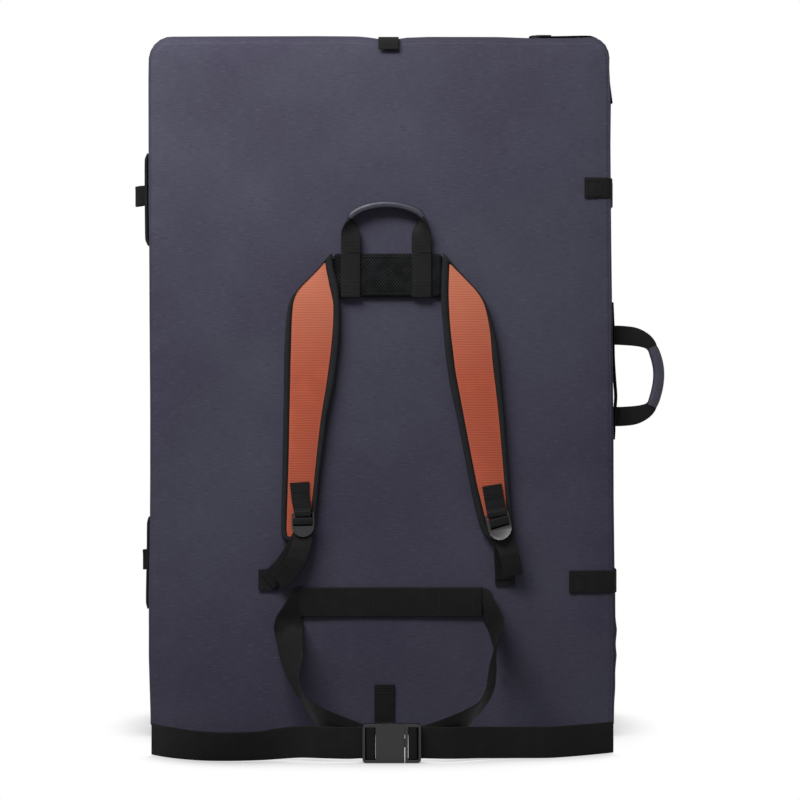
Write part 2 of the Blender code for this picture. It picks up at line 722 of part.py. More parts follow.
def build_adjuster(prefix, frame, anchor_x, drift, fabrics):
    """The adjusting webbing: from its anchor on the pad up through the lock and down again as a loose tail."""
    low = SEAT_GAP + WEBBING / 2
    second = low + WEBBING + STITCHED_GAP
    high = LOCK_LOW + LOCK_THICKNESS + STITCHED_GAP + WEBBING / 2
    upper = LOCK_MIDDLE_START - STITCHED_GAP - WEBBING / 2
    lower = LOCK_MIDDLE_END + STITCHED_GAP + WEBBING / 2
    end = LOCK_TONGUE_START + LOCK_TONGUE
    loop = [(end, low), (upper, low), (upper, high), (lower, high), (lower, second), (end, second)]
    threaded = in_frame(frame, loop)
    anchor = Vector((anchor_x, FACE_SEAT_Y - WEBBING - STITCHED_GAP - WEBBING / 2, ANCHOR_Z))
    level = frame.to_3x3() @ Vector((0, 1, 0))
    lead = [anchor.lerp(threaded[0], way) + OUT * TAIL_STAND_OFF * out for way, out in LEAD_SHARES]
    tail = [
        threaded[-1] + Vector((drift * aside, 0, -TAIL_DROP * down)) + OUT * TAIL_STAND_OFF * out
        for down, aside, out in FALL_SHARES
    ]
    path = [*lead, *threaded, *tail]
    return strip(prefix + "_adjusting_webbing", path, level, NARROW_WEBBING, fabrics["webbing"])


def build_anchor(prefix, x, fabrics):
    """The webbing patch that holds the adjusting webbing's lower end to the pad."""
    frame = face_frame(x, ANCHOR_Z, FACE_SEAT_Y)
    shape = box_between((-NARROW_WEBBING / 2, NARROW_WEBBING / 2), (-ANCHOR_SIZE / 2, ANCHOR_SIZE / 2))
    return plate(prefix + "_lower_anchor", [shape], 0, WEBBING, frame, fabrics["webbing"])


def build_yoke(fabrics):
    """Padded mesh panel between the straps, with two webbing strips that carry the handle."""
    frame = face_frame(YOKE_X, YOKE_TOP_Z - YOKE_HEIGHT / 2, FACE_SEAT_Y)
    shape = rounded_box((-YOKE_WIDTH / 2, YOKE_WIDTH / 2), (-YOKE_HEIGHT / 2, YOKE_HEIGHT / 2), YOKE_CORNER)
    panel = plate("yoke_panel", [shape], 0, YOKE_THICKNESS, frame, fabrics["mesh"])
    strips = []
    for word, side in (("left", -1), ("right", 1)):
        x = TOP_HANDLE_X + side * TOP_HANDLE_SPACING / 2
        y = FACE_SEAT_Y - YOKE_THICKNESS - SEAT_GAP - WEBBING / 2
        path = [(x, y, YOKE_TOP_Z - YOKE_HEIGHT), (x, y, YOKE_TOP_Z - SEAT_GAP)]
        strips.append(strip(f"yoke_webbing_{word}", path, RIGHT, NARROW_WEBBING, fabrics["webbing"]))
    return [panel, *strips]


def build_handle(name, frame, sizes, shares, edge, fabrics):
    """A webbing loop that turns from flat feet into a folded, sleeved grip whose width lies along the edge direction."""
    flat = frame.to_3x3() @ Vector((1, 0, 0))
    spacing, rise, arch = sizes
    half = spacing / 2

    def grip_place(share):
        return frame @ Vector((share * shares[-1][0] * half, rise + arch * (1 - share**2), 0))

    def leg(sign):
        stations = []
        for along, up, turn in shares:
            angle = turn * math.pi / 2
            across = flat * math.cos(angle) + edge * math.sin(angle) * sign
            width = NARROW_WEBBING + (FOLDED_WIDTH - NARROW_WEBBING) * turn
            thick = WEBBING + (FOLDED_THICKNESS - WEBBING) * turn
            stations.append((frame @ Vector((sign * along * half, up * rise, 0)), across, width, thick))
        return stations

    middle = [(grip_place(share), edge, FOLDED_WIDTH, FOLDED_THICKNESS) for share in GRIP_SHARES]
    last = [(c, -a, w, t) for c, a, w, t in reversed(leg(-1))]
    stations = [*eased(leg(1)), *middle, *eased(last)]
    webbing = ribbon(name + "_webbing", stations, fabrics["webbing"])
    bore = [(c, a, w + 2 * GRIP_CLEARANCE, t + 2 * GRIP_CLEARANCE) for c, a, w, t in middle]
    wall_width = (GRIP_WIDTH - FOLDED_WIDTH) / 2 - GRIP_CLEARANCE
    wall_thickness = (GRIP_THICKNESS - FOLDED_THICKNESS) / 2 - GRIP_CLEARANCE
    grip = hollow_ribbon(name + "_grip", bore, wall_width, wall_thickness, fabrics["nylon"])
    return [webbing, grip]


def adjuster_length(size):
    """How long a buckle's webbing frame is: two bars and two slots."""
    return size["outer_bar"] + 2 * size["slot"] + size["middle_bar"]


def bar_levels(size):
    """Heights of a threaded webbing frame: first layer, second layer, the bars' undersides and the layer on top."""
    first = BUCKLE_FLOOR + WEBBING / 2
    second = first + WEBBING + STITCHED_GAP
    outer_low = second + WEBBING / 2 + STITCHED_GAP
    middle_low = first + WEBBING / 2 + STITCHED_GAP
    top = size["thickness"] - WEBBING / 2 - STITCHED_GAP
    return first, second, outer_low, middle_low, top


def flat(name, loop, low, high, fabrics):
    """A plate of buckle plastic in the buckle's own frame."""
    return plate(name, [loop], low, high, Matrix.Identity(4), fabrics["plastic"])


def build_adjuster_frame(name, size, start, sign, fabrics):
    """The part of a buckle that the webbing threads: rails, an outer bar and a middle bar, running from start."""
    half = size["width"] / 2
    length = adjuster_length(size)
    opening = size["webbing"] / 2 + STITCHED_GAP
    _, _, outer_low, middle_low, top = bar_levels(size)
    near, far = start, start + sign * length
    body = flat(name, box_between((near, far), (-half, half)), 0, size["thickness"], fabrics)
    hole = box_between((near, far), (-opening, opening))
    void = flat(name + "_void", hole, -size["wall"], size["thickness"] + size["wall"], fabrics)
    combine(body, void, "DIFFERENCE")
    outer = box_between((far - sign * size["outer_bar"], far), (-half, half))
    combine(body, flat(name + "_outer_bar", outer, outer_low, size["thickness"], fabrics), "UNION")
    middle_near = near + sign * size["slot"]
    middle = box_between((middle_near, middle_near + sign * size["middle_bar"]), (-half, half))
    middle_high = top - WEBBING / 2 - STITCHED_GAP
    return combine(body, flat(name + "_middle_bar", middle, middle_low, middle_high, fabrics), "UNION")


def threaded_path(size, start, sign):
    """(along, out) of webbing through a frame: in on the first layer, over the middle bar, out on the second."""
    first, second, _, _, top = bar_levels(size)
    inner = start + sign * (size["slot"] - STITCHED_GAP - WEBBING / 2)
    outer = start + sign * (size["slot"] + size["middle_bar"] + STITCHED_GAP + WEBBING / 2)
    exit_at = start + sign * (adjuster_length(size) + size["slot"])
    return [(exit_at, first), (inner, first), (inner, top), (outer, top), (outer, second), (exit_at, second)]


def build_socket(name, size, frame, fabrics):
    """The buckle's socket: a flat box open at its mouth and sides, with a webbing frame behind it."""
    half, length, thick = size["width"] / 2, size["socket"], size["thickness"]
    wall, rail = size["wall"], size["rail"]
    body = flat(name, box_between((0.0, length), (-half, half)), 0, thick, fabrics)
    cavity = box_between((-wall, length - rail), (rail - half, half - rail))
    combine(body, flat(name + "_cavity", cavity, wall, thick - wall, fabrics), "DIFFERENCE")
    window = box_between((size["reach"] * CATCH_SHARE, size["reach"] + size["play"]), (-half - wall, half + wall))
    combine(body, flat(name + "_window", window, wall, thick - wall, fabrics), "DIFFERENCE")
    combine(body, build_adjuster_frame(name + "_frame", size, length - wall / 2, 1, fabrics), "UNION")
    body.data.transform(frame)
    return body


def arm_outline(size, sign):
    """One side arm of the plug, a round root, a slim spring and a pad with a catching shoulder, and its root."""
    half, reach, arm = size["width"] / 2, size["reach"], size["arm"]
    root = half - size["rail"] - arm * ARM_ROOT_SHARE
    catch = reach * CATCH_SHARE + size["play"]
    points = []
    for k in range(ARM_STEPS + 1):
        angle = math.pi * (0.5 + k / ARM_STEPS)
        points.append((arm / 2 + arm / 2 * math.cos(angle), root + arm / 2 * math.sin(angle)))
    points.append((catch, root - arm / 2))
    points += [(reach * along, root + arm * out) for along, out in ARM_INNER_SHARES]
    points += [(reach * along, half + arm * out) for along, out in ARM_OUTER_SHARES]
    points += [(catch, half - arm * ARM_CATCH_SHARE), (catch, root + arm / 2)]
    return [(u, sign * v) for u, v in points], (arm / 2, sign * root)


def build_plug(name, size, frame, fabrics, with_arms):
    """The buckle's plug: a webbing frame with a middle prong and, on the small buckles, its two side arms."""
    half, thick, wall, play = size["width"] / 2, size["thickness"], size["wall"], size["play"]
    depth = size["rail"]
    body = build_adjuster_frame(name, size, -depth, -1, fabrics)
    head = box_between((-depth - wall / 2, -play), (-half, half))
    combine(body, flat(name + "_head", head, 0, thick, fabrics), "UNION")
    low, high = wall + play / 2, thick - wall - play / 2
    side, shoulder = size["prong"] / 2, size["reach"] * PRONG_SHOULDER_SHARE
    tip = side * PRONG_TIP_SHARE
    prong = [(-depth / 2, -side), (shoulder, -tip), (size["reach"], 0.0), (shoulder, tip), (-depth / 2, side)]
    combine(body, flat(name + "_prong", prong, low, high, fabrics), "UNION")
    arms, roots = [], []
    for word, sign in (("upper", -1), ("lower", 1)):
        shape, (u, v) = arm_outline(size, sign)
        if with_arms:
            arm = size["arm"]
            foot = box_between((-depth / 2, arm / 2), (v - arm / 2, v + arm / 2))
            combine(body, flat(name + "_foot", foot, low, high, fabrics), "UNION")
            combine(body, flat(name + "_arm", shape, low, high, fabrics), "UNION")
        else:
            arms.append(plate(f"{name}_{word}_arm", [shape], low, high, frame, fabrics["plastic"]))
            roots.append(frame @ Vector((u, v, (low + high) / 2)))
    body.data.transform(frame)
    return body, arms, roots


def buckle_stand_off(size):
    """How far a closure buckle's underside lies outside the wall's fullest line."""
    half_length = size["socket"] + adjuster_length(size)
    return SEAT_GAP - wall_inset(HALF_DEPTH - min(half_length, HALF_DEPTH / 2))


def face_to_wall(reach, lift, end_depth):
    """(inset, depth) of webbing from the flat of a face, over the edge and along the wall, lifted off the cover."""
    edge = edge_profile(-lift)
    path = [p for p in edge if p[0] < reach] + wall_profile(-lift, end_depth)
    if reach >= CROWN_BORDER:
        return [(reach, -lift), (CROWN_BORDER, -lift), *[p for p in path if p[0] < CROWN_BORDER]]
    share = (edge[0][0] - reach) / (edge[0][0] - edge[1][0])
    return [(reach, edge[0][1] + (edge[1][1] - edge[0][1]) * share), *path]


def build_closure(prefix, frame, reach, to_place, across, tail_overhang, fabrics):
    """One closure: webbing from each half's face to a side-release buckle that bridges the fold."""
    size = CLOSURE_BUCKLE
    lift = SEAT_GAP + WEBBING / 2
    socket = build_socket(prefix + "_closure_socket", size, frame, fabrics)
    plug, _, _ = build_plug(prefix + "_closure_plug", size, frame, fabrics, True)
    made = []
    for word, start, sign in (("front", -size["rail"], -1), ("rear", size["socket"] - size["wall"] / 2, 1)):
        threaded = threaded_path(size, start, sign)
        if word == "rear":
            threaded = threaded[:4]
            reach_here = REAR_FACE_REACH
        else:
            reach_here = reach
        end_depth = HALF_DEPTH + FOLD_GAP / 2 - abs(threaded[0][0]) - size["slot"]
        lead = [to_place(word, inset, depth) for inset, depth in face_to_wall(reach_here, lift, end_depth)]
        if word == "front" and tail_overhang:
            lead = lead[-3:]
        points = lead + in_frame(frame, threaded)
        if word == "front":
            _, second, _, _, _ = bar_levels(size)
            back = [(threaded[-1][0] - CLOSURE_FOLD_BACK, second + SEAT_GAP)]
            if tail_overhang:
                drop = FRONT_Y - frame.translation.y
                level = second + WALL_BULGE
                tip = (drop - tail_overhang, level - tail_overhang)
                back = [(drop * TOP_TAIL_REST_SHARE, level), (drop - WEBBING, level), tip]
            points += in_frame(frame, back)
        made.append(strip(f"{prefix}_closure_{word}_strap", points, across, NARROW_WEBBING, fabrics["webbing"]))
    return [plug, made[0]], [socket, made[1]]


def build_closures(fabrics):
    """Two closures on the open side and one over the top."""
    stand = buckle_stand_off(CLOSURE_BUCKLE)
    front_pieces, rear_pieces = [], []
    spots = (("upper", UPPER_CLOSURE_Z, UPPER_FACE_REACH), ("lower", LOWER_CLOSURE_Z, LOWER_FACE_REACH))
    for prefix, z, reach in spots:

        def beside(word, inset, depth, z=z):
            y = FRONT_Y + depth if word == "front" else REAR_Y - depth
            return Vector((HALF_WIDTH - inset, y, z))

        frame = frame_at(Vector((HALF_WIDTH + stand, FOLD_Y, z)), Vector((0, 1, 0)), UP)
        front, rear = build_closure(prefix, frame, reach, beside, UP, 0.0, fabrics)
        front_pieces += front
        rear_pieces += rear

    def above(word, inset, depth):
        y = FRONT_Y + depth if word == "front" else REAR_Y - depth
        return Vector((TOP_CLOSURE_X, y, PAD_HEIGHT - inset))

    frame = frame_at(Vector((TOP_CLOSURE_X, FOLD_Y, PAD_HEIGHT + stand)), Vector((0, 1, 0)), -RIGHT)
    front, rear = build_closure("top", frame, UPPER_FACE_REACH, above, RIGHT, TOP_TAIL_OVERHANG, fabrics)
    return front_pieces + front, rear_pieces + rear


def build_belt(fabrics):
    """Waist belt: a sewn sleeve, two wings, a side-release buckle and two loose tails on the floor."""
    size = BELT_BUCKLE
    sleeve_y = FACE_SEAT_Y - WEBBING / 2
    path = [(SLEEVE_X + side * SLEEVE_LENGTH / 2, sleeve_y, SLEEVE_Z) for side in (-1, 1)]
    strip("belt_sleeve", path, UP, BELT_WEBBING, fabrics["webbing"])
    buckle_z = size["width"] / 2 + BELT_TAIL_FLOOR
    mouth_x = BELT_BUCKLE_X + (size["socket"] + adjuster_length(size)) / 2
    origin = Vector((mouth_x - size["rail"] / 2, FRONT_Y - BELT_REACH, buckle_z))
    frame = frame_at(origin, -RIGHT, -UP)
    socket = build_socket("belt_buckle_socket", size, frame, fabrics)
    plug, arms, roots = build_plug("belt_buckle_plug", size, frame, fabrics, False)
    wings, tails = [], []
    ends = (
        ("left", -1, size["socket"] - size["wall"] / 2, 1, LEFT_WING_SHARES, LEFT_TAIL_SHARES, BELT_TAIL_LEFT),
        ("right", 1, -size["rail"], -1, RIGHT_WING_SHARES, RIGHT_TAIL_SHARES, BELT_TAIL_RIGHT),
    )
    for word, side, start, sign, wing_shares, tail_shares, tail_length in ends:
        threaded = in_frame(frame, threaded_path(size, start, sign))
        first = Vector((SLEEVE_X + side * (SLEEVE_LENGTH / 2 + STITCHED_GAP), sleeve_y, SLEEVE_Z))
        goal = threaded[0]
        stations = []
        for out, forward, down, across in wing_shares:
            here = Vector(
                (
                    first.x + side * WING_BULGE * out,
                    first.y + (goal.y - first.y) * forward,
                    first.z + (goal.z - first.z) * down,
                )
            )
            stations.append((here, Vector(across), BELT_WEBBING, WEBBING))
        stations = eased([*stations, (threaded[0], UP * side, BELT_WEBBING, WEBBING)])
        stations.append((threaded[1], UP * side, BELT_WEBBING, WEBBING))
        wings.append(ribbon(f"{word}_belt_wing", stations, fabrics["webbing"]))
        route = [threaded[1].lerp(threaded[2], BELT_SPLIT_SHARE), *threaded[2:]]
        leave = threaded[-1]
        low = BELT_WEBBING / 2 + BELT_TAIL_FLOOR
        for share, sway in tail_shares:
            z = leave.z + (low - leave.z) * min(share / BELT_TAIL_SETTLE_SHARE, 1.0)
            route.append(Vector((leave.x + side * tail_length * share, leave.y + BELT_TAIL_SWAY * sway, z)))
        tails.append(strip(f"{word}_belt_tail", route, UP, BELT_WEBBING, fabrics["webbing"]))
    return socket, plug, arms, roots, wings, tails, origin


def build_spine(fabrics):
    """Two webbing strips on the front half's left wall, each with a doubled loop under its middle."""
    made = []
    wall_x = -HALF_WIDTH + wall_inset(SPINE_DEPTH) - SEAT_GAP
    y = FRONT_Y + SPINE_DEPTH
    spots = (("upper", UPPER_STRIP_Z, UPPER_LOOP_Z), ("lower", LOWER_STRIP_Z, LOWER_LOOP_Z))
    for word, strip_z, loop_z in spots:
        base = wall_x - WEBBING / 2 - WEBBING - STITCHED_GAP
        bow = base - SPINE_STRIP_BOW
        outer = list(zip(SPINE_STRIP_SHARES, (bow, base, wall_x - WEBBING / 2)))
        rows = [(-share, x) for share, x in reversed(outer)] + outer
        path = [(x, y, strip_z + share * SPINE_STRIP_LENGTH / 2) for share, x in rows]
        made.append(strip(f"{word}_spine_strip", path, Vector((0, 1, 0)), SPINE_STRIP_WIDTH, fabrics["webbing"]))
        near = bow - WEBBING / 2 - STITCHED_GAP
        far = near - SPINE_LOOP_LENGTH
        path = [(near, y, loop_z), (far, y, loop_z)]
        made.append(strip(f"{word}_spine_loop", path, UP, SPINE_LOOP_WIDTH, fabrics["webbing"], 2 * WEBBING))
    return made


def build_keeper(fabrics):
    """The webbing keeper at the bottom of the front face, let into the bottom seam."""
    y = FACE_SEAT_Y - WEBBING / 2
    lowest = CROWN_BORDER - FLOOR_PRESS
    rows = [(inset - FLOOR_PRESS, FRONT_Y + depth) for inset, depth in edge_profile(-SEAT_GAP - WEBBING / 2)[1:4]]
    path = [(KEEPER_X, y, max(KEEPER_TOP_Z, lowest + WEBBING)), (KEEPER_X, y, lowest)]
    path += [(KEEPER_X, depth, z) for z, depth in rows]
    return strip("lower_keeper", path, RIGHT, NARROW_WEBBING, fabrics["webbing"])


def zip_route(lift):
    """The zip's path over the top right corner, in (x, z), lifted off the wall."""
    inset = wall_inset(ZIP_DEPTH) - lift
    points = [(p.x, p.z) for p in ring(inset, 0.0, 0.0)]
    count = len(points) // 2
    corner = [p for p in points[:count] if p[1] > PAD_HEIGHT - ZIP_END_DROP]
    top = corner[-1][1]
    return [(ZIP_START_X, top), *reversed(corner)]


def build_zip(fabrics):
    """Zip tape round the corner, and its slider with a hanging pull."""
    y = FRONT_Y + ZIP_DEPTH
    route = zip_route(SEAT_GAP + ZIP_THICKNESS / 2)
    path = [Vector((x, y, z)) for x, z in route]
    tape = strip("zip_tape", path, Vector((0, 1, 0)), ZIP_WIDTH, fabrics["webbing"], ZIP_THICKNESS)
    top = route[0][1] + ZIP_THICKNESS / 2 + SEAT_GAP
    frame = frame_at(Vector((ZIP_START_X, y, top)), RIGHT, Vector((0, 1, 0)))
    wide = (-SLIDER_WIDTH / 2, SLIDER_WIDTH / 2)
    body = rounded_box((SLIDER_INSET, SLIDER_INSET + SLIDER_LENGTH), wide, SLIDER_CORNER)
    slider = plate("zip_slider", [body], 0, SLIDER_THICKNESS, frame, fabrics["metal"])
    start = SLIDER_INSET + SLIDER_LENGTH * PULL_START_SHARE
    pull = rounded_box((start, start + PULL_LENGTH), (-PULL_WIDTH / 2, PULL_WIDTH / 2), PULL_CORNER)
    low = SLIDER_THICKNESS - PULL_SINK
    bar = plate("zip_pull", [pull], low, low + PULL_THICKNESS, frame, fabrics["metal"])
    return tape, combine(slider, bar, "UNION"), Vector((ZIP_START_X, y, top))


def build_side_base(fabrics):
    """The webbing base of the carrying handle on the front half's right wall."""
    x = HALF_WIDTH - wall_inset(HANDLE_SIDE_DEPTH) + SEAT_GAP + WEBBING / 2
    y = FRONT_Y + HANDLE_SIDE_DEPTH
    half = SIDE_HANDLE_SPACING / 2
    path = [(x, y, SIDE_HANDLE_Z - half - SIDE_BASE_BELOW), (x, y, SIDE_HANDLE_Z + half + SIDE_BASE_ABOVE)]
    return strip("side_handle_base", path, Vector((0, 1, 0)), NARROW_WEBBING, fabrics["webbing"])


def build():
    """The whole pad, with an empty on each joint's axis."""
    for obj in list(bpy.data.objects):
        bpy.data.objects.remove(obj)
    fabrics = {
        "nylon": finish("cover_nylon", "45434f", 0.75),
        "landing": finish("landing_nylon", "232326", 0.8),
        "pu": finish("pu_foam", "c9c2ad", 0.9),
        "pe": finish("pe_foam", "3a3d42", 0.85),
        "webbing": finish("black_webbing", "1f1f1f", 0.8),
        "binding": finish("black_binding", "242628", 0.8),
        "mesh": finish("spacer_mesh", "1c1d1d", 0.9),
        "orange": finish("orange_nylon", "b85e45", 0.75),
        "plastic": finish("buckle_plastic", "2b2b30", 0.4),
        "metal": finish("zip_metal", "3b3b3f", 0.4, 1.0),
    }
    build_half("front", FRONT_Y, 1, fabrics)
    rear = build_half("rear", REAR_Y, -1, fabrics)
    build_hinge_web(fabrics)
    build_yoke(fabrics)
    build_spine(fabrics)
    build_keeper(fabrics)
    build_side_base(fabrics)
    tape, slider, slider_place = build_zip(fabrics)
    pivot("zip_slider_travel", slider_place, [slider])

    _, rear_closures = build_closures(fabrics)
    pivot("pad_fold", (SPINE_X, FOLD_Y, 0), rear + rear_closures)

    straps = (
        ("left", LEFT_STRAP_SHARES, LEFT_STRAP_REACH, -1, LEFT_LOCK_X, LEFT_LOCK_LEAN, LEFT_ANCHOR_X),
        ("right", RIGHT_STRAP_SHARES, RIGHT_STRAP_REACH, 1, RIGHT_LOCK_X, RIGHT_LOCK_LEAN, RIGHT_ANCHOR_X),
    )
    for word, shares, reach, side, lock_x, lean, anchor_x in straps:
        frame = lock_frame(lock_x, LOCK_Z, lean)
        pieces = build_strap(word, shares, reach, side, fabrics)
        pieces.append(build_tab(word, frame, fabrics))
        lock = build_lock(word, frame, fabrics)
        share = LEFT_TAIL_DRIFT_SHARE if side < 0 else RIGHT_TAIL_DRIFT_SHARE
        build_adjuster(word, frame, anchor_x, side * share * TAIL_DROP, fabrics)
        build_anchor(word, anchor_x, fabrics)
        carried = pivot(f"{word}_strap_lift", (0, FACE_SEAT_Y, YOKE_TOP_Z), pieces)
        bar = frame @ Vector((LOCK_BAR / 2, 0, LOCK_LOW + LOCK_THICKNESS / 2))
        hinge = pivot(f"{word}_lock_tilt", bar, [lock])
        hinge.parent = carried
        hinge.matrix_parent_inverse = carried.matrix_world.inverted()

    handle_y = FACE_SEAT_Y - YOKE_THICKNESS - SEAT_GAP - WEBBING / 2
    frame = frame_at(Vector((TOP_HANDLE_X, handle_y, YOKE_TOP_Z + HANDLE_FOOT_GAP)), RIGHT, UP)
    sizes = (TOP_HANDLE_SPACING, TOP_HANDLE_RISE, TOP_HANDLE_ARCH)
    pieces = build_handle("top_handle", frame, sizes, TOP_HANDLE_SHARES, OUT, fabrics)
    pivot("top_handle_swing", frame @ Vector((0, WEBBING / 2, 0)), pieces)

    base_top = HALF_WIDTH - wall_inset(HANDLE_SIDE_DEPTH) + SEAT_GAP + WEBBING
    place_at = Vector((base_top + HANDLE_FOOT_GAP, FRONT_Y + HANDLE_SIDE_DEPTH, SIDE_HANDLE_Z))
    frame = frame_at(place_at, -UP, RIGHT)
    sizes = (SIDE_HANDLE_SPACING, SIDE_HANDLE_RISE, SIDE_HANDLE_ARCH)
    pieces = build_handle("side_handle", frame, sizes, SIDE_HANDLE_SHARES, RIGHT, fabrics)
    pivot("side_handle_swing", frame @ Vector((0, WEBBING / 2, 0)), pieces)

    socket, plug, arms, roots, wings, tails, mouth = build_belt(fabrics)
    root = (SLEEVE_X, FACE_SEAT_Y, SLEEVE_Z + BELT_WEBBING / 2)
    swing = pivot("belt_swing", root, [socket, *wings, tails[0]])
    slide = pivot("belt_buckle_release", mouth, [plug, tails[1]])
    slide.parent = swing
    slide.matrix_parent_inverse = swing.matrix_world.inverted()
    for arm, root in zip(arms, roots):
        hinge = pivot(arm.name + "_squeeze", root, [arm])
        hinge.parent = slide
        hinge.matrix_parent_inverse = slide.matrix_world.inverted()


build()
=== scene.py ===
import math

import bmesh
import bpy
import numpy as np
from bpy.props import FloatProperty, FloatVectorProperty, IntProperty, PointerProperty
from mathutils import Matrix, Vector


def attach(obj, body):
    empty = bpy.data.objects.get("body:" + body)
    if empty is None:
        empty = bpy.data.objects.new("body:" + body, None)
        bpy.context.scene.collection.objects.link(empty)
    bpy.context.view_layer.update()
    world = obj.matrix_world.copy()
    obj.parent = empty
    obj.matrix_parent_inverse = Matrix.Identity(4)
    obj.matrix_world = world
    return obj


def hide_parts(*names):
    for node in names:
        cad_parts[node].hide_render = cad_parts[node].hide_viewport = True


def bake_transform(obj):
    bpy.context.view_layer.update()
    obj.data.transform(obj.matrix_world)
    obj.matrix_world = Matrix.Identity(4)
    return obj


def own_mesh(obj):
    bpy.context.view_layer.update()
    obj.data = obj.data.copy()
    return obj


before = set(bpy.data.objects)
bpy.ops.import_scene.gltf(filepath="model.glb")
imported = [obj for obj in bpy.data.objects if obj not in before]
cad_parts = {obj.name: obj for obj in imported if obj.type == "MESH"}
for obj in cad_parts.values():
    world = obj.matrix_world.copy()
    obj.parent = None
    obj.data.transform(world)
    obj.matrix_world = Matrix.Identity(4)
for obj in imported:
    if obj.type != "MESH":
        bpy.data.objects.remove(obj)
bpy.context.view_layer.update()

bl_info = {
    "name": "Bouldering crash pad",
    "version": (1, 0, 0),
    "blender": (4, 5, 0),
    "location": "View3D > Sidebar > Crash pad",
    "description": "Dresses a folded bouldering crash pad in cloth, webbing and moulded plastic",
    "category": "Object",
}

# Places and sizes in metres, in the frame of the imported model: +X right, -Y towards the harness, +Z up
MM = 0.001
FRONT_Y = -0.045
REAR_Y = 0.136
HALF_WIDTH = 0.295
PAD_HEIGHT = 0.890
HALF_DEPTH = 0.090
TOP_CORNER = 0.028
BOTTOM_CORNER = 0.016
EDGE_ROUND = 0.007
WALL_BULGE = 0.003
SEAT_Y = -0.0453
STRAP_THICKNESS = 0.012
STRAP_FRONT = SEAT_Y - STRAP_THICKNESS
WEBBING = 0.0016
NARROW = 0.025
WIDE = 0.038
KEEPER_WIDTH = 0.0258
FOLD = (-0.302, 0.0455, 0.445)
CLOTH = 0.0011
LANDING_INSET = 0.0046
LANDING_EDGE = 0.0008
FLOOR_GAP = 0.0006
# From the slider's plain place to the stood-out zip
SLIDER_MOVE = (0, -0.004, 0.0074)
# Over this depth a cover's wall forgets the waves of its face
RIM_FADE = 0.012
# How much of the front half's stand past its plain wall the rear half has
REAR_SHARE = 0.35
# Fine steps along webbing that turns sharply, finer ones where it is threaded, and how softly it turns
TURN_STEP = 0.0012
THREAD_STEP = 0.0008
TURN_SOFT = 0.0022
# Tones of the shoulder straps' face: a painted sheen near the top, a painted highlight on the turned edge, and dark in
# the seam
FACE_TOP_SHEEN = "c57c62"
FACE_EDGE_HIGHLIGHT = "d08468"
FACE_SEAM = "2c1512"


def linear(code):
    """Linear colour with alpha of an sRGB hex code: each channel goes through the sRGB curve backwards."""
    channels = np.array([int(code[i : i + 2], 16) for i in (0, 2, 4)]) / 255
    curve = np.where(channels <= 0.04045, channels / 12.92, ((channels + 0.055) / 1.055) ** 2.4)
    return (*(float(c) for c in curve), 1.0)


def colour(label, code, note):
    """A colour that a user may change, written as an sRGB hex code."""
    return FloatVectorProperty(
        name=label, description=note, subtype="COLOR", size=4, min=0, max=1, default=linear(code)
    )


def length(label, size, note, low=0.0):
    """A length that a user may change, in metres."""
    return FloatProperty(name=label, description=note, unit="LENGTH", default=size, min=low)


class CrashPadColours(bpy.types.PropertyGroup):
    cover: colour("Cover", "3c3a49", "Coated nylon of the cover")
    cover_haze: colour("Cover haze", "444452", "Rubbed places of the cover")
    # The side walls are the cover's nylon, set darker as painted shade
    wall: colour("Side wall", "33323e", "Nylon of the cover's side walls")
    grip: colour("Grips", "242432", "Tubes on the handles")
    webbing: colour("Webbing", "1a1a1b", "Straps, tabs and handles")
    binding: colour("Binding", "222326", "Tape round the shoulder straps")
    mesh: colour("Mesh", "1b1c1d", "Spacer mesh of the yoke and of the straps' backs")
    face: colour("Strap face", "aa533d", "Ribbed nylon of the shoulder straps")
    plastic: colour("Buckles", "141417", "Moulded buckles")
    metal: colour("Slider", "3b3b3f", "Zip slider and pull")
    landing: colour("Landing side", "232326", "Cloth between the folded halves")
    base_foam: colour("Base foam", "c9c2ad", "Open-cell foam")
    top_foam: colour("Top foam", "3a3d42", "Closed-cell foam")
    thread: colour("Thread", "2b2b2d", "Sewing thread")
    floor: colour("Floor", "f4f4f4", "Plain paper floor")


class CrashPadSizes(bpy.types.PropertyGroup):
    grid: length("Cloth grid", 0.0055, "Spacing of the points on the cover", 0.003)
    strip_step: length("Strip step", 0.0025, "Spacing of the points along webbing", 0.0005)
    crown_drop: length("Crown", 0.0030, "How far the cover falls back at its edges")
    welt: length("Welt", 0.0012, "Height of the sewn edge")
    swell: length("Swell", 0.0010, "Most that simulated cloth may move", 0.0001)
    stitch: length("Stitch", 0.0032, "Length of one stitch", 0.001)
    thread: length("Thread", 0.0007, "Thickness of the thread", 0.0001)
    moulded_edge: length("Moulded edge", 0.0006, "Radius on the edges of plastic")
    moulded_steps: IntProperty(name="Edge steps", description="Facets on a moulded edge", default=3, min=1, max=6)


# Curves, grids and meshes


def run_along(points, closed=False):
    """The distance of each point of a line from its first one, and round a closed line back to it."""
    if closed:
        points = np.vstack([points, points[:1]])
    return np.concatenate([[0.0], np.cumsum(np.linalg.norm(np.diff(points, axis=0), axis=1))])


def ring_places(round_it, along_it):
    """Places on cloth laid in rings: one number round each ring and one from ring to ring."""
    return np.stack(np.broadcast_arrays(round_it[None, :], along_it[:, None]), axis=-1)


def rim_of(grid):
    """The outermost points of a grid, anticlockwise from its first corner."""
    return np.concatenate([grid[0, :-1], grid[:-1, -1], grid[-1, :0:-1], grid[:0:-1, 0]])


def bell(reach):
    """Weights of a mean over neighbours up to a reach away, highest in the middle."""
    weights = np.hanning(2 * reach + 3)[1:-1]
    return weights / weights.sum()


def blurred(rows, reach):
    """Each row but those within the reach of an end, as the bell-weighted mean of its neighbours."""
    weights = bell(reach)
    return np.stack([np.convolve(rows[:, k], weights, "valid") for k in range(rows.shape[1])], axis=1)


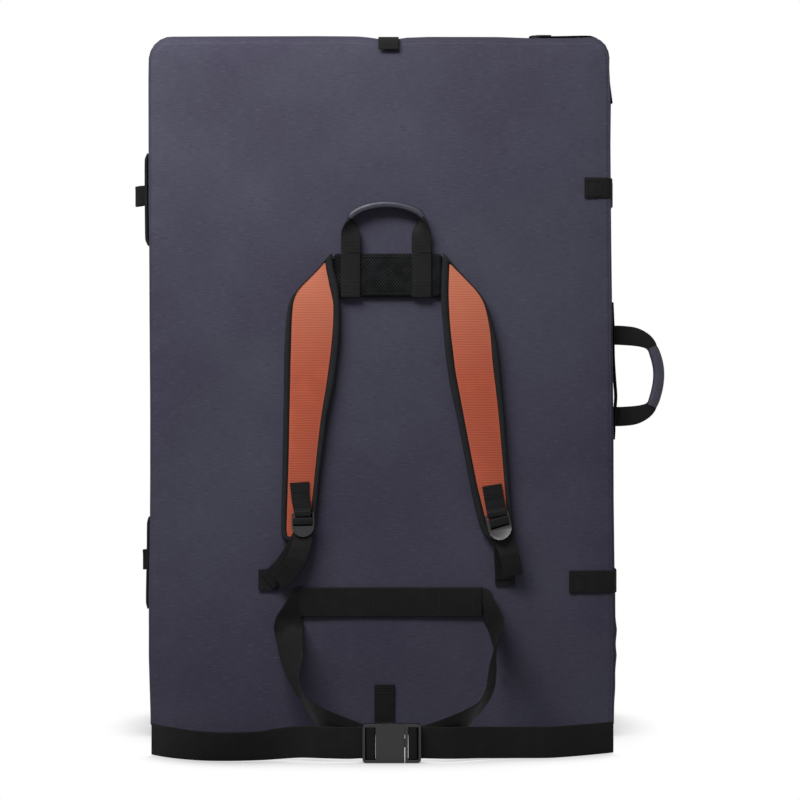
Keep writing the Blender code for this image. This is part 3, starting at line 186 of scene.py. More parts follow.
def spaced(rows, spacing):
    """Rows read off at even distances along the line through their first three columns."""
    rows = np.asarray(rows, dtype=float)
    along = run_along(rows[:, :3])
    count = max(int(round(along[-1] / spacing)), 2)
    where = np.linspace(0.0, along[-1], count + 1)
    return np.stack([np.interp(where, along, rows[:, k]) for k in range(rows.shape[1])], axis=1)


def curved(rows, spacing, steps=16):
    """A smooth curve through the rows: between two rows it is the cubic whose slope at each is half the way
    from the row before to the row after."""
    rows = np.asarray(rows, dtype=float)
    longer = np.vstack([2 * rows[:1] - rows[1:2], rows, 2 * rows[-1:] - rows[-2:-1]])
    a, b, c, d = longer[:-3, None], longer[1:-2, None], longer[2:-1, None], longer[3:, None]
    t = np.linspace(0, 1, steps, endpoint=False)[None, :, None]
    cubic = (2 * b + (c - a) * t + (2 * a - 5 * b + 4 * c - d) * t**2 + (3 * (b - c) + d - a) * t**3) / 2
    return spaced(np.vstack([cubic.reshape(-1, rows.shape[1]), rows[-1:]]), spacing)


def rounded(rows, spacing, softness):
    """A line through the rows with its bends rounded: each point is a bell-weighted mean of its neighbours
    within the softness, and the two ends stay."""
    line = spaced(rows, spacing)
    reach = max(int(round(softness / spacing)), 1)
    head, tail = 2 * line[:1] - line[reach:0:-1], 2 * line[-1:] - line[-2 : -reach - 2 : -1]
    return blurred(np.vstack([head, line, tail]), reach)


def unit(vectors):
    """Vectors divided by their lengths."""
    return vectors / np.maximum(np.linalg.norm(vectors, axis=-1, keepdims=True), 1e-12)


def directions(route):
    """Along, across and standing directions of a route: the slope of its centres, its own width direction made
    square to that, and the two crossed."""
    along = unit(np.gradient(route[:, :3], axis=0))
    across = route[:, 3:6]
    across = unit(across - (across * along).sum(axis=1, keepdims=True) * along)
    return along, across, np.cross(across, along)


def carried(route, profile):
    """A profile carried along a route. A point is the centre, plus the width direction times half the width times
    the profile's first number, plus the standing direction times half the thickness times its second."""
    _, across, stand = directions(route)
    wide = profile[None, :, 0, None] * across[:, None] * route[:, None, 6:7] / 2
    thick = profile[None, :, 1, None] * stand[:, None] * route[:, None, 7:8] / 2
    ring = np.vstack([profile, profile[:1]])
    u = ring[None, :, 0] * route[:, 6:7] / 2
    v = np.repeat(run_along(route[:, :3])[:, None], len(ring), axis=1)
    return route[:, None, :3] + wide + thick, np.stack([u, v], axis=-1)


# Across and up, as shares of half the width and half the thickness
STRIP = np.array(
    [(1, -0.3), (0.965, -0.85), (0.9, -1), (0.45, -1), (0, -1), (-0.45, -1), (-0.9, -1), (-0.965, -0.85), (-1, -0.3)]
    + [(-1, 0.3), (-0.965, 0.85), (-0.9, 1), (-0.45, 1), (0, 1), (0.45, 1), (0.9, 1), (0.965, 0.85), (1, 0.3)],
    dtype=float,
)


def superellipse(power, count):
    """A ring of points (c, s), each the cosine or sine of an even angle raised to 2 / power with its sign kept."""
    angle = np.linspace(0, 2 * np.pi, count, endpoint=False)
    c, s = np.cos(angle), np.sin(angle)
    return np.stack([np.sign(c) * np.abs(c) ** (2 / power), np.sign(s) * np.abs(s) ** (2 / power)], axis=1)


def quads(rows, columns, wrapped):
    """Faces of a grid: each joins a point to its neighbours along the row and in the next row."""
    wide = columns if wrapped else columns - 1
    r, c = np.meshgrid(np.arange(rows - 1), np.arange(wide), indexing="ij")
    n = (c + 1) % columns
    return np.stack([r * columns + c, r * columns + n, (r + 1) * columns + n, (r + 1) * columns + c], -1).reshape(-1, 4)


def signed_volume(points, faces):
    """Six times the volume that quads close in, from the products of their corners."""
    a, b, c, d = (points[faces[:, k]] for k in range(4))
    return (np.einsum("ij,ij->i", a, np.cross(b, c)) + np.einsum("ij,ij->i", a, np.cross(c, d))).sum()


class Patch:
    """A grid of points with a place on the cloth for each, laid out as rows of a sheet or rings of a tube."""

    def __init__(self, points, uv, wrapped=False, capped=False, looped=False, outward=None, finish=0):
        self.points, self.uv, self.wrapped, self.finish = points, uv, wrapped, finish
        self.capped, self.looped, self.outward = capped, looped, outward

    def built(self):
        """Points, faces and the places of the faces' corners, turned to face outwards."""
        points, uv = self.points, self.uv
        if self.looped:
            points = np.concatenate([points, points[:1]])
            uv = np.concatenate([uv, uv[-1:] + (uv[-1:] - uv[-2:-1])])
        rows, columns = points.shape[:2]
        flat = points.reshape(-1, 3)
        faces = quads(rows, columns, self.wrapped)
        places = uv.reshape(-1, 2)[quads(rows, uv.shape[1], False)]
        faces, places = faces.tolist(), places.tolist()
        if self.capped:
            for ring, row in ((range(columns - 1, -1, -1), 0), (range(columns), rows - 1)):
                faces.append([row * columns + i for i in ring])
                places.append([uv[row, i].tolist() for i in ring])
        middle = flat.mean(axis=0)
        square = np.array([f for f in faces if len(f) == 4])
        if self.outward is None:
            inside_out = signed_volume(flat - middle, square) < 0
        else:
            a, b, c = (flat[square[:, k]] for k in range(3))
            inside_out = np.cross(b - a, c - a).sum(axis=0) @ np.array(self.outward) < 0
        if inside_out:
            faces = [f[::-1] for f in faces]
            places = [p[::-1] for p in places]
        return flat, faces, places


def lay_mesh(name, patches, finishes, sharp=None):
    """An object of the patches' grids, smooth but for edges sharper than an angle in degrees."""
    points, faces, places, slots, start = [], [], [], [], 0
    for patch in patches:
        flat, own, own_places = patch.built()
        points.append(flat)
        faces += [[i + start for i in f] for f in own]
        places += own_places
        slots += [patch.finish] * len(own)
        start += len(flat)
    mesh = bpy.data.meshes.new(name)
    mesh.from_pydata(np.concatenate(points).tolist(), [], faces)
    corners = np.array([c for f in places for c in f], dtype=np.float32)
    mesh.uv_layers.new(name="weave").data.foreach_set("uv", corners.ravel())
    mesh.polygons.foreach_set("material_index", slots)
    for finish in finishes:
        mesh.materials.append(finish)
    return hold(name, mesh, sharp)


def hold(name, mesh, sharp=None):
    """An object for a mesh, with its doubled points joined and its shading smooth."""
    built = bmesh.new()
    built.from_mesh(mesh)
    bmesh.ops.remove_doubles(built, verts=built.verts, dist=2e-6)
    built.to_mesh(mesh)
    built.free()
    mesh.polygons.foreach_set("use_smooth", [True] * len(mesh.polygons))
    if sharp is not None:
        mesh.set_sharp_from_angle(angle=math.radians(sharp))
    obj = bpy.data.objects.new(name, mesh)
    bpy.context.scene.collection.objects.link(obj)
    return obj


def settle(obj, body, slot, *nodes):
    """Hangs a piece on its body and hides the nodes it stands for. The slot, the name of a finish, is not used."""
    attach(obj, body)
    if nodes:
        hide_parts(*nodes)
    return obj


def route_of(rows, width, thickness=WEBBING, across=None):
    """Rows of (x, y, z, width direction) or of (x, y, z) in millimetres, as a route in metres."""
    rows = np.asarray(rows, dtype=float)
    if rows.shape[1] == 3:
        rows = np.hstack([rows, np.tile(np.asarray(across, dtype=float), (len(rows), 1))])
    sizes = np.tile([width, thickness], (len(rows), 1)) if rows.shape[1] == 6 else rows[:, 6:] * MM
    return np.hstack([rows[:, :3] * MM, rows[:, 3:6], sizes])


def turning(path, width, across, softness=TURN_SOFT):
    """The route of webbing that turns sharply: its bends are rounded over the softness."""
    return rounded(route_of(path, width, WEBBING, across), TURN_STEP, softness)


def laid(context, path, width, across=None, thickness=WEBBING):
    """The route of webbing that runs smoothly through its places."""
    return curved(route_of(path, width, thickness, across), context.scene.crash_pad_sizes.strip_step)


def webbing_piece(context, name, routes):
    """Flat webbing along each route, with rounded selvedges and square-cut ends."""
    patches = [Patch(*carried(route, STRIP), wrapped=True, capped=True) for route in routes]
    return lay_mesh(name, patches, [finish(context, "webbing")], 35)


def sewn(context, name, routes, body, *nodes):
    """Flat webbing along each route, hung on its body in place of its nodes."""
    return settle(webbing_piece(context, name, routes), body, "black_webbing", *nodes)


def stretched(context, name, route, node):
    """Flat webbing that stands for a node and runs from one body to another."""
    strap = webbing_piece(context, name, [route])
    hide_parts(node)
    return strap


# One stitch: along it as a share of its length, and round it as shares of the thread's thickness
STITCH_ALONG = np.array([-0.5, -0.36, 0.36, 0.5])
STITCH_GIRTH = np.array([0.3, 1.0, 1.0, 0.3])


def stitching(context, name, lines, body, normals=None):
    """A row of stitches along each line, given in millimetres. Each is a small capsule lying on the cloth, which
    faces the front unless a direction is given: its rings stand at shares of the stitch's length, and each ring is
    a circle of the thread's thickness squeezed to a share."""
    sizes = context.scene.crash_pad_sizes
    centres, alongs, facing = [], [], []
    for line, normal in zip(lines, normals or [(0, -1, 0)] * len(lines)):
        places = spaced(np.asarray(line, dtype=float) * MM, sizes.stitch * 1.25)
        centres.append((places[1:] + places[:-1]) / 2)
        alongs.append(unit(np.gradient(places, axis=0))[1:])
        facing.append(np.tile(np.asarray(normal, dtype=float), (len(places) - 1, 1)))
    centre, along, normal = np.concatenate(centres), np.concatenate(alongs), unit(np.concatenate(facing))
    side = unit(np.cross(along, normal))
    corners, rings = 5, len(STITCH_ALONG)
    angle = np.arange(corners) * 2 * np.pi / corners
    ring = STITCH_GIRTH[:, None, None] * (sizes.thread / 2)
    turn = np.cos(angle)[None, :, None] * side[:, None, None] + np.sin(angle)[None, :, None] * normal[:, None, None]
    points = centre[:, None, None] + along[:, None, None] * STITCH_ALONG[:, None, None] * sizes.stitch + ring * turn
    starts = np.arange(len(centre)) * rings * corners
    faces = (quads(rings, corners, True)[None] + starts[:, None, None]).reshape(-1, 4).tolist()
    for start in starts.tolist():
        faces.append([start + i for i in reversed(range(corners))])
        faces.append([start + (rings - 1) * corners + i for i in range(corners)])
    mesh = bpy.data.meshes.new(name)
    mesh.from_pydata(points.reshape(-1, 3).tolist(), [], faces)
    mesh.uv_layers.new(name="weave")
    mesh.materials.append(finish(context, "thread"))
    obj = hold(name, mesh)
    tidy = bmesh.new()
    tidy.from_mesh(obj.data)
    bmesh.ops.recalc_face_normals(tidy, faces=tidy.faces)
    tidy.to_mesh(obj.data)
    tidy.free()
    return settle(obj, body, "black_webbing")


def softened(context, name, node, word="plastic", shape=None, seam=None, end=0, corner=0.004):
    """A copy of a moulded node with its doubled points joined and its flat faces cleared. It may be cut across by a
    plane, given as a point and a direction, and its points moved by a rule. The upright corners of its end towards
    -X or +X may be rounded, and all its edges are."""
    sizes = context.scene.crash_pad_sizes
    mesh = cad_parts[node].data.copy()
    mesh.name = name
    built = bmesh.new()
    built.from_mesh(mesh)
    bmesh.ops.remove_doubles(built, verts=built.verts, dist=1e-5)
    bmesh.ops.dissolve_limit(built, angle_limit=math.radians(2), verts=built.verts, edges=built.edges)
    if end:
        far = max(vert.co.x * end for vert in built.verts)
        low, high = min(vert.co.z for vert in built.verts), max(vert.co.z for vert in built.verts)
        picked = [
            edge
            for edge in built.edges
            if all(v.co.x * end > far - 2e-4 and min(v.co.z - low, high - v.co.z) < 2e-4 for v in edge.verts)
            and abs(edge.verts[0].co.z - edge.verts[1].co.z) < 1e-4
        ]
        bmesh.ops.bevel(built, geom=picked, offset=corner, segments=3, affect="EDGES", profile=0.5)
    if shape is not None:
        geometry = [*built.verts, *built.edges, *built.faces]
        bmesh.ops.bisect_plane(built, geom=geometry, plane_co=seam[0], plane_no=seam[1])
        for vert in built.verts:
            vert.co = shape(vert.co)
    bmesh.ops.recalc_face_normals(built, faces=built.faces)
    built.to_mesh(mesh)
    built.free()
    mesh.materials.clear()
    mesh.materials.append(finish(context, word))
    obj = bpy.data.objects.new(name, mesh)
    bpy.context.scene.collection.objects.link(obj)
    bevel = obj.modifiers.new("moulded_edge", "BEVEL")
    bevel.width = sizes.moulded_edge
    bevel.segments = sizes.moulded_steps
    bevel.limit_method = "ANGLE"
    bevel.angle_limit = math.radians(28)
    bevel.harden_normals = True
    mesh.polygons.foreach_set("use_smooth", [True] * len(mesh.polygons))
    mesh.set_sharp_from_angle(angle=math.radians(32))
    return obj


def swelled(obj, pinned, cap, pressure=4.0):
    """Cloth under pressure from inside, held at the pinned points, and moved at most about the cap: a point's move
    is its length drawn through a curve that levels off at the cap."""
    scene = bpy.context.scene
    before = np.empty(len(obj.data.vertices) * 3)
    obj.data.vertices.foreach_get("co", before)
    group = obj.vertex_groups.new(name="held")
    group.add([int(i) for i in pinned], 1.0, "REPLACE")
    cloth = obj.modifiers.new("cloth", "CLOTH")
    cloth.settings.use_pressure = True
    cloth.settings.uniform_pressure_force = pressure
    cloth.settings.effector_weights.gravity = 0
    cloth.settings.vertex_group_mass = "held"
    cloth.settings.quality = 5
    cloth.collision_settings.use_collision = False
    cloth.point_cache.frame_start, cloth.point_cache.frame_end = 1, 20
    for moment in range(1, 21):
        scene.frame_set(moment)
    seen = obj.evaluated_get(bpy.context.evaluated_depsgraph_get())
    after = np.empty_like(before)
    seen.data.vertices.foreach_get("co", after)
    obj.modifiers.clear()
    obj.vertex_groups.clear()
    scene.frame_set(1)
    move = (after - before).reshape(-1, 3)
    far = np.linalg.norm(move, axis=1, keepdims=True)
    held = move / np.maximum(far, 1e-9) * cap * np.tanh(far / cap)
    obj.data.vertices.foreach_set("co", (before.reshape(-1, 3) + held).ravel())
    obj.data.update()
    return obj


# Finishes


def add(tree, kind, inputs=(), out=0, **settings):
    """Adds a node of that kind with its settings. Each of its inputs, by name or number or in order, gets a value, or
    a link where another node's output is given. Gives back the output of that name or number."""
    node = tree.nodes.new(kind)
    for name, value in settings.items():
        setattr(node, name, value)
    for name, value in inputs.items() if isinstance(inputs, dict) else enumerate(inputs):
        if isinstance(value, bpy.types.NodeSocket):
            tree.links.new(value, node.inputs[name])
        else:
            node.inputs[name].default_value = value
    return node.outputs[out]


def new_finish(name, values):
    """A material whose shader is set to those values, and its tree."""
    made = bpy.data.materials.new(name)
    made.use_nodes = True
    tree = made.node_tree
    for socket, value in values.items():
        tree.nodes["Principled BSDF"].inputs[socket].default_value = value
    return made, tree


def clad(made, base, normal):
    """The material with its shader's colour and normal linked."""
    shader = made.node_tree.nodes["Principled BSDF"]
    made.node_tree.links.new(base, shader.inputs["Base Color"])
    made.node_tree.links.new(normal, shader.inputs["Normal"])
    return made


def toned(tree, base, tone, source, low=0.0, high=1.0, most=1.0):
    """A colour that goes from the base towards a tone, at most by a share, as a number goes from low to high."""
    share = add(tree, "ShaderNodeMapRange", (source, low, high, 0.0, most))
    return add(tree, "ShaderNodeMix", {0: share, 6: base, 7: tone}, 2, data_type="RGBA")


def wave_scale(pitch):
    """The scale of a wave texture whose ribs stand at a pitch in metres: it turns through 20 at a scale of 1."""
    return 2 * math.pi / 20 / pitch


def darker(code, share):
    """A linear colour with its light cut to a share."""
    return (*(c * share for c in code[:3]), 1.0)


def coated_nylon(name, tint, haze_tint, streaks):
    """Coated ballistic nylon, a heavy plain weave of thick, uneven yarn, coated on the back: a dull cloth, hazy where
    it has been rubbed. Its slubs are faint broken strokes along the weft, 11 mm long and 1.8 mm high, and fainter
    ones along the warp; they are drawn coarser than the real 0.6 mm threads, which are too fine to show."""
    made, tree = new_finish(name, {"Roughness": 0.7, "IOR": 1.5, "Specular IOR Level": 0.12})
    place = add(tree, "ShaderNodeTexCoord", out="Object")
    haze = add(tree, "ShaderNodeTexNoise", {"Vector": place, "Scale": 4.5, "Detail": 4.0, "Roughness": 0.6}, "Fac")
    drawn = []
    for per_metre in ((92, 92, 560), (520, 520, 110)):
        there = add(tree, "ShaderNodeMapping", {"Vector": place, "Scale": per_metre})
        noise = {"Vector": there, "Scale": 1.0, "Detail": 2.0, "Roughness": 0.6}
        drawn.append(add(tree, "ShaderNodeTexNoise", noise, "Fac"))
    weft, warp = drawn
    base = toned(tree, tint, haze_tint, haze, 0.40, 0.66)
    for strokes, low, high, most, tone in (
        (weft, 0.58, 0.74, 0.50, darker(haze_tint, 1.5)),
        (weft, 0.44, 0.28, 0.50, darker(tint, 0.66)),
        (warp, 0.60, 0.78, 0.26, darker(haze_tint, 1.4)),
        (warp, 0.40, 0.24, 0.24, darker(tint, 0.6)),
    ):
        base = toned(tree, base, tone, strokes, low, high, most * streaks)
    bump = {"Strength": 0.22, "Distance": 0.0007}
    under = add(tree, "ShaderNodeBump", {**bump, "Height": weft})
    return clad(made, base, add(tree, "ShaderNodeBump", {**bump, "Height": warp, "Normal": under}))


def woven(name, tint, pitch, depth, roughness, worn):
    """Narrow woven tape. Its UV map runs across and along in metres: ribs of the weft stand across the tape at the
    pitch, a chevron of the warp crosses them, and the edges and high places are a little paler from rubbing."""
    made, tree = new_finish(name, {"IOR": 1.49, "Specular IOR Level": 0.08, "Roughness": roughness})
    cloth, place = add(tree, "ShaderNodeUVMap", uv_map="weave"), add(tree, "ShaderNodeTexCoord", out="Object")
    slanted = add(tree, "ShaderNodeMapping", {"Vector": cloth, "Rotation": (0, 0, math.radians(32))})
    weft = {"Vector": cloth, "Scale": wave_scale(pitch), "Distortion": 0.6, "Detail": 1.0}
    warp = {"Vector": slanted, "Scale": wave_scale(pitch * 1.3), "Distortion": 0.4, "Detail": 2.0}
    ribs = add(tree, "ShaderNodeTexWave", weft, "Fac", bands_direction="Y")
    chevron = add(tree, "ShaderNodeTexWave", warp, "Fac")
    height = add(tree, "ShaderNodeMath", (chevron, 0.5, ribs), operation="MULTIPLY_ADD")
    wear = add(tree, "ShaderNodeTexNoise", {"Vector": place, "Scale": 45.0, "Detail": 3.0, "Roughness": 0.6}, "Fac")
    base = toned(tree, darker(tint, 0.72), darker(tint, 1.18), height, 0.2, 1.3)
    base = toned(tree, base, darker(tint, 2.0), wear, 0.5, 0.75, worn)
    return clad(made, base, add(tree, "ShaderNodeBump", {"Strength": 0.5, "Distance": depth, "Height": height}))


def polypropylene_webbing(colours):
    """Polypropylene webbing, 1.6 mm thick and woven in a chevron: dull black with ribs every 1.8 mm, drawn wider than
    the real 0.9 mm so that they show."""
    return woven("polypropylene_webbing", colours.webbing, 0.0018, 0.0004, 0.66, 0.30)


def grosgrain_binding(colours):
    """Grosgrain tape folded over the straps' edges: close ribs across the tape, drawn at 1.5 mm."""
    return woven("grosgrain_binding", colours.binding, 0.0015, 0.0003, 0.7, 0.25)


def air_mesh(colours):
    """Knitted polyester spacer mesh, 3.8 mm between holes along a row and 2.4 mm between rows: a dark diamond lattice
    whose holes are nearly black."""
    made, tree = new_finish("polyester_air_mesh", {"Roughness": 0.85, "Specular IOR Level": 0.06})
    place = add(tree, "ShaderNodeTexCoord", out="Object")
    slants = [
        add(tree, "ShaderNodeVectorMath", (place, (263, 263, up)), "Value", operation="DOT_PRODUCT")
        for up in (208, -208)
    ]
    cells = {"Vector": add(tree, "ShaderNodeCombineXYZ", slants), "Scale": 1.0, "Randomness": 0.0}
    cell = add(tree, "ShaderNodeTexVoronoi", cells, "Distance", voronoi_dimensions="2D")
    hole = add(tree, "ShaderNodeMapRange", (cell, 0.22, 0.42))
    wear = add(tree, "ShaderNodeTexNoise", {"Vector": place, "Scale": 60.0, "Detail": 2.0}, "Fac")
    yarn = toned(tree, colours.mesh, darker(colours.mesh, 2.1), wear, 0.4, 0.7)
    base = toned(tree, darker(colours.mesh, 0.2), yarn, hole)
    return clad(made, base, add(tree, "ShaderNodeBump", {"Strength": 0.9, "Distance": 0.0012, "Height": hole}))


def ribbed_nylon(colours):
    """Nylon woven with heavy weft ribs 3.2 mm apart, the face of the shoulder straps: warm and dull, paler on the ribs,
    with a painted highlight along the turned edges and a painted sheen near the top, dark in the seam."""
    made, tree = new_finish("ribbed_nylon_face", {"IOR": 1.5, "Specular IOR Level": 0.12, "Roughness": 0.65})
    cloth, place = add(tree, "ShaderNodeUVMap", uv_map="weave"), add(tree, "ShaderNodeTexCoord", out="Object")
    weft = {"Vector": cloth, "Scale": wave_scale(0.0032), "Distortion": 2.2, "Detail": 3.0}
    warp = {"Vector": cloth, "Scale": wave_scale(0.0022), "Distortion": 1.0, "Detail": 2.0}
    ribs = add(tree, "ShaderNodeTexWave", weft, "Fac", bands_direction="Y")
    threads = add(tree, "ShaderNodeTexWave", warp, "Fac")
    height = add(tree, "ShaderNodeMath", (threads, 0.35, ribs), operation="MULTIPLY_ADD")
    mottle = add(tree, "ShaderNodeTexNoise", {"Vector": place, "Scale": 30.0, "Detail": 3.0}, "Fac")
    up = add(tree, "ShaderNodeSeparateXYZ", (place,), "Z")
    edge = add(tree, "ShaderNodeAttribute", out="Fac", attribute_name="edge")
    base = darker(colours.face, 0.93)
    for where, low, high, most, tone in (
        (height, 0.15, 1.15, 1.0, darker(colours.face, 1.08)),
        (mottle, 0.50, 0.72, 0.4, darker(colours.face, 1.3)),
        # Painted sheen: the face grows paler towards the top
        (up, 0.46, 0.59, 0.6, linear(FACE_TOP_SHEEN)),
        # Painted highlight: a paler band along the turned edge
        (edge, 0.86, 0.94, 0.12, linear(FACE_EDGE_HIGHLIGHT)),
        (edge, 0.955, 0.985, 0.9, linear(FACE_SEAM)),
    ):
        base = toned(tree, base, tone, where, low, high, most)
    return clad(made, base, add(tree, "ShaderNodeBump", {"Strength": 0.3, "Distance": 0.0005, "Height": height}))


def moulded(name, tint, roughness, metallic, grain):
    """A moulded or cast part with the fine grain of its tool, 0.6 mm, and slightly shinier where hands rub it."""
    plain = {} if metallic else {"IOR": 1.48, "Specular IOR Level": 0.5}
    made, tree = new_finish(name, {"Metallic": metallic, **plain})
    place = add(tree, "ShaderNodeTexCoord", out="Object")
    rub = add(tree, "ShaderNodeTexNoise", {"Vector": place, "Scale": 90.0, "Detail": 3.0}, "Fac")
    base = toned(tree, tint, darker(tint, 1.35), rub, 0.4, 0.7)
    rough = add(tree, "ShaderNodeMapRange", (rub, 0.35, 0.7, roughness + 0.06, roughness - 0.08))
    tree.links.new(rough, tree.nodes["Principled BSDF"].inputs["Roughness"])
    tool = add(tree, "ShaderNodeTexNoise", {"Vector": place, "Scale": 1 / 0.0006, "Detail": 2.0}, "Fac")
    return clad(made, base, add(tree, "ShaderNodeBump", {"Strength": grain, "Distance": 0.0002, "Height": tool}))


def coated_tube(colours):
    """Coated nylon sewn into a tube over the handles' webbing: smooth, dark and a little shiny along its top."""
    return moulded("coated_nylon_tube", colours.grip, 0.42, 0.0, 0.3)


def acetal(colours):
    """Acetal, injection moulded in a spark-eroded tool: dark grey with a soft shine."""
    return moulded("moulded_acetal", colours.plastic, 0.40, 0.0, 0.25)


def zinc_alloy(colours):
    """Die-cast zinc alloy with a blackened coat, as on zip sliders."""
    return moulded("blackened_zinc_alloy", colours.metal, 0.36, 1.0, 0.15)


def foam(name, tint, cell):
    """Foam with cells of that size: a matt surface pitted by them."""
    made, tree = new_finish(name, {"Roughness": 0.9, "Specular IOR Level": 0.15})
    place = add(tree, "ShaderNodeTexCoord", out="Object")
    pores = add(tree, "ShaderNodeTexVoronoi", {"Vector": place, "Scale": 1 / cell}, "Distance")
    pit = add(tree, "ShaderNodeMapRange", (pores, 0.1, 0.7))
    base = toned(tree, darker(tint, 0.7), tint, pit)
    return clad(made, base, add(tree, "ShaderNodeBump", {"Strength": 0.5, "Distance": 0.0008, "Height": pit}))


def landing_nylon(colours):
    """Smooth-faced nylon on the side that is landed on, black and a little shiny, with rib-stop threads that are drawn
    at 8 mm in place of 5 mm so that they show."""
    made, tree = new_finish("landing_side_nylon", {"Roughness": 0.6, "IOR": 1.5, "Specular IOR Level": 0.35})
    place = add(tree, "ShaderNodeTexCoord", out="Object")
    lines = []
    for axis in ("X", "Z"):
        wave = {"Vector": place, "Scale": wave_scale(0.008)}
        lines.append(add(tree, "ShaderNodeTexWave", wave, "Fac", bands_direction=axis))
        lines[-1] = add(tree, "ShaderNodeMapRange", (lines[-1], 0.93, 0.99))
    grid = add(tree, "ShaderNodeMath", lines, operation="MAXIMUM")
    mottle = add(tree, "ShaderNodeTexNoise", {"Vector": place, "Scale": 9.0, "Detail": 4.0}, "Fac")
    base = toned(tree, colours.landing, darker(colours.landing, 1.5), mottle, 0.4, 0.7)
    base = toned(tree, base, darker(colours.landing, 1.7), grid)
    return clad(made, base, add(tree, "ShaderNodeBump", {"Strength": 0.4, "Distance": 0.0003, "Height": grid}))


def nylon_coil(colours):
    """Nylon coil zip on its tape: a row of close turns every 1.8 mm between two flat woven edges."""
    return woven("nylon_coil_tape", darker(colours.webbing, 0.75), 0.0018, 0.0008, 0.5, 0.2)


def polyester_thread(colours):
    """Bonded polyester thread, twisted, dull black and a little paler than the webbing it holds."""
    return woven("bonded_polyester_thread", colours.thread, 0.0009, 0.0002, 0.55, 0.3)


FINISHES = {
    "cover": lambda colours: coated_nylon("coated_ballistic_nylon", colours.cover, colours.cover_haze, 1.0),
    # The side walls: the cover's nylon darkened as painted shade
    "wall": lambda colours: coated_nylon("side_wall_nylon_painted_shade", colours.wall, darker(colours.wall, 1.4), 0.6),
    "grip": coated_tube,
    "webbing": polypropylene_webbing,
    "binding": grosgrain_binding,
    "mesh": air_mesh,
    "face": ribbed_nylon,
    "plastic": acetal,
    "metal": zinc_alloy,
    "landing": landing_nylon,
    "coil": nylon_coil,
    "thread": polyester_thread,
    "base_foam": lambda colours: foam("open_cell_polyurethane", colours.base_foam, 0.0016),
    "top_foam": lambda colours: foam("closed_cell_polyethylene", colours.top_foam, 0.0012),
}
made_finishes = {}


def finish(context, word):
    """The finish of that name, made once."""
    if word not in made_finishes:
        made_finishes[word] = FINISHES[word](context.scene.crash_pad_colours)
    return made_finishes[word]


# The pad's body

# Height and how far the cover stands out past its plain wall, in millimetres, at the left and at the right
LEFT_STAND = [(0, 4.3), (25, 3.9), (60, 5.0), (100, 6.2), (180, 6.2), (240, 5.0), (330, 4.4), (420, 4.4), (540, 5.3)]
LEFT_STAND += [(620, 5.6), (700, 6.4), (840, 6.7), (892, 6.0)]
RIGHT_STAND = [(0, 5.4), (40, 6.0), (62, 7.4), (84, 7.4), (104, 9.2), (118, 7.8), (136, 9.6), (152, 7.6), (185, 7.4)]
RIGHT_STAND += [(220, 6.4), (300, 5.4), (380, 5.2), (460, 4.4), (560, 3.2), (640, 2.2), (760, 1.2), (815, 1.8)]
RIGHT_STAND += [(856, -0.4), (892, 0.6)]
# Place across and the same above the top wall
TOP_STAND = [(-295, 9.0), (-270, 11.3), (-200, 11.7), (-80, 12.0), (-30, 11.6), (-14, 10.0), (9, 6.2), (32, 10.0)]
TOP_STAND += [(60, 11.0), (150, 10.8), (190, 9.4), (230, 9.4), (258, 9.7), (268, 10.9), (280, 11.5), (295, 9.0)]
# Depth behind the face and the share of that stand that shows there, at the sides and at the top
SIDE_REACH = [(0, 0.5), (4, 0.72), (10, 1.0), (34, 1.0), (50, 0.8), (70, 0.35), (90, 0.0)]
TOP_REACH = [(0, 0.5), (4, 0.68), (9, 0.95), (13, 1.0), (20, 0.92), (34, 0.6), (50, 0.25), (66, 0.0), (90, 0.0)]


def read_off(table, where):
    """Values of a table in millimetres between its rows."""
    table = np.asarray(table, dtype=float)
    return np.interp(where, table[:, 0], table[:, 1])


def wall_stand(depth, x, z, normal_x, normal_z, share=1.0):
    """How far the cover stands out past its plain wall: the side's and the top's own stands, each weighted by how
    squarely the wall faces that way. Metres in and out."""
    mm = 1 / MM
    left = read_off(LEFT_STAND, z * mm) * read_off(SIDE_REACH, depth * mm) * np.maximum(-normal_x, 0)
    right = read_off(RIGHT_STAND, z * mm) * read_off(SIDE_REACH, depth * mm) * np.maximum(normal_x, 0)
    top = read_off(TOP_STAND, x * mm) * read_off(TOP_REACH, depth * mm) * np.maximum(normal_z, 0) ** 1.3
    return (left + right + top) * MM * share


def side_of_outline(corner, along, outward, length, radii, count):
    """Points and outward directions along one side of a rounded rectangle, from the middle of one corner's arc to
    the middle of the next. On an arc the angle grows with the distance, and between them the line is straight."""
    first, last = radii
    arc_first, arc_last = first * math.pi / 4, last * math.pi / 4
    straight = length - first - last
    s = np.linspace(0, arc_first + straight + arc_last, count)
    angle = np.where(s < arc_first, (s - arc_first) / first, np.maximum(s - arc_first - straight, 0) / last)
    radius = np.where(s < arc_first, first, last)
    run = np.clip(s - arc_first, 0, straight)
    start = np.where(s < arc_first, 0.0, run)
    forth, aside = first + start + radius * np.sin(angle), radius * (np.cos(angle) - 1)
    place = forth[:, None] * along + aside[:, None] * outward
    return corner + place, np.sin(angle)[:, None] * along + np.cos(angle)[:, None] * outward


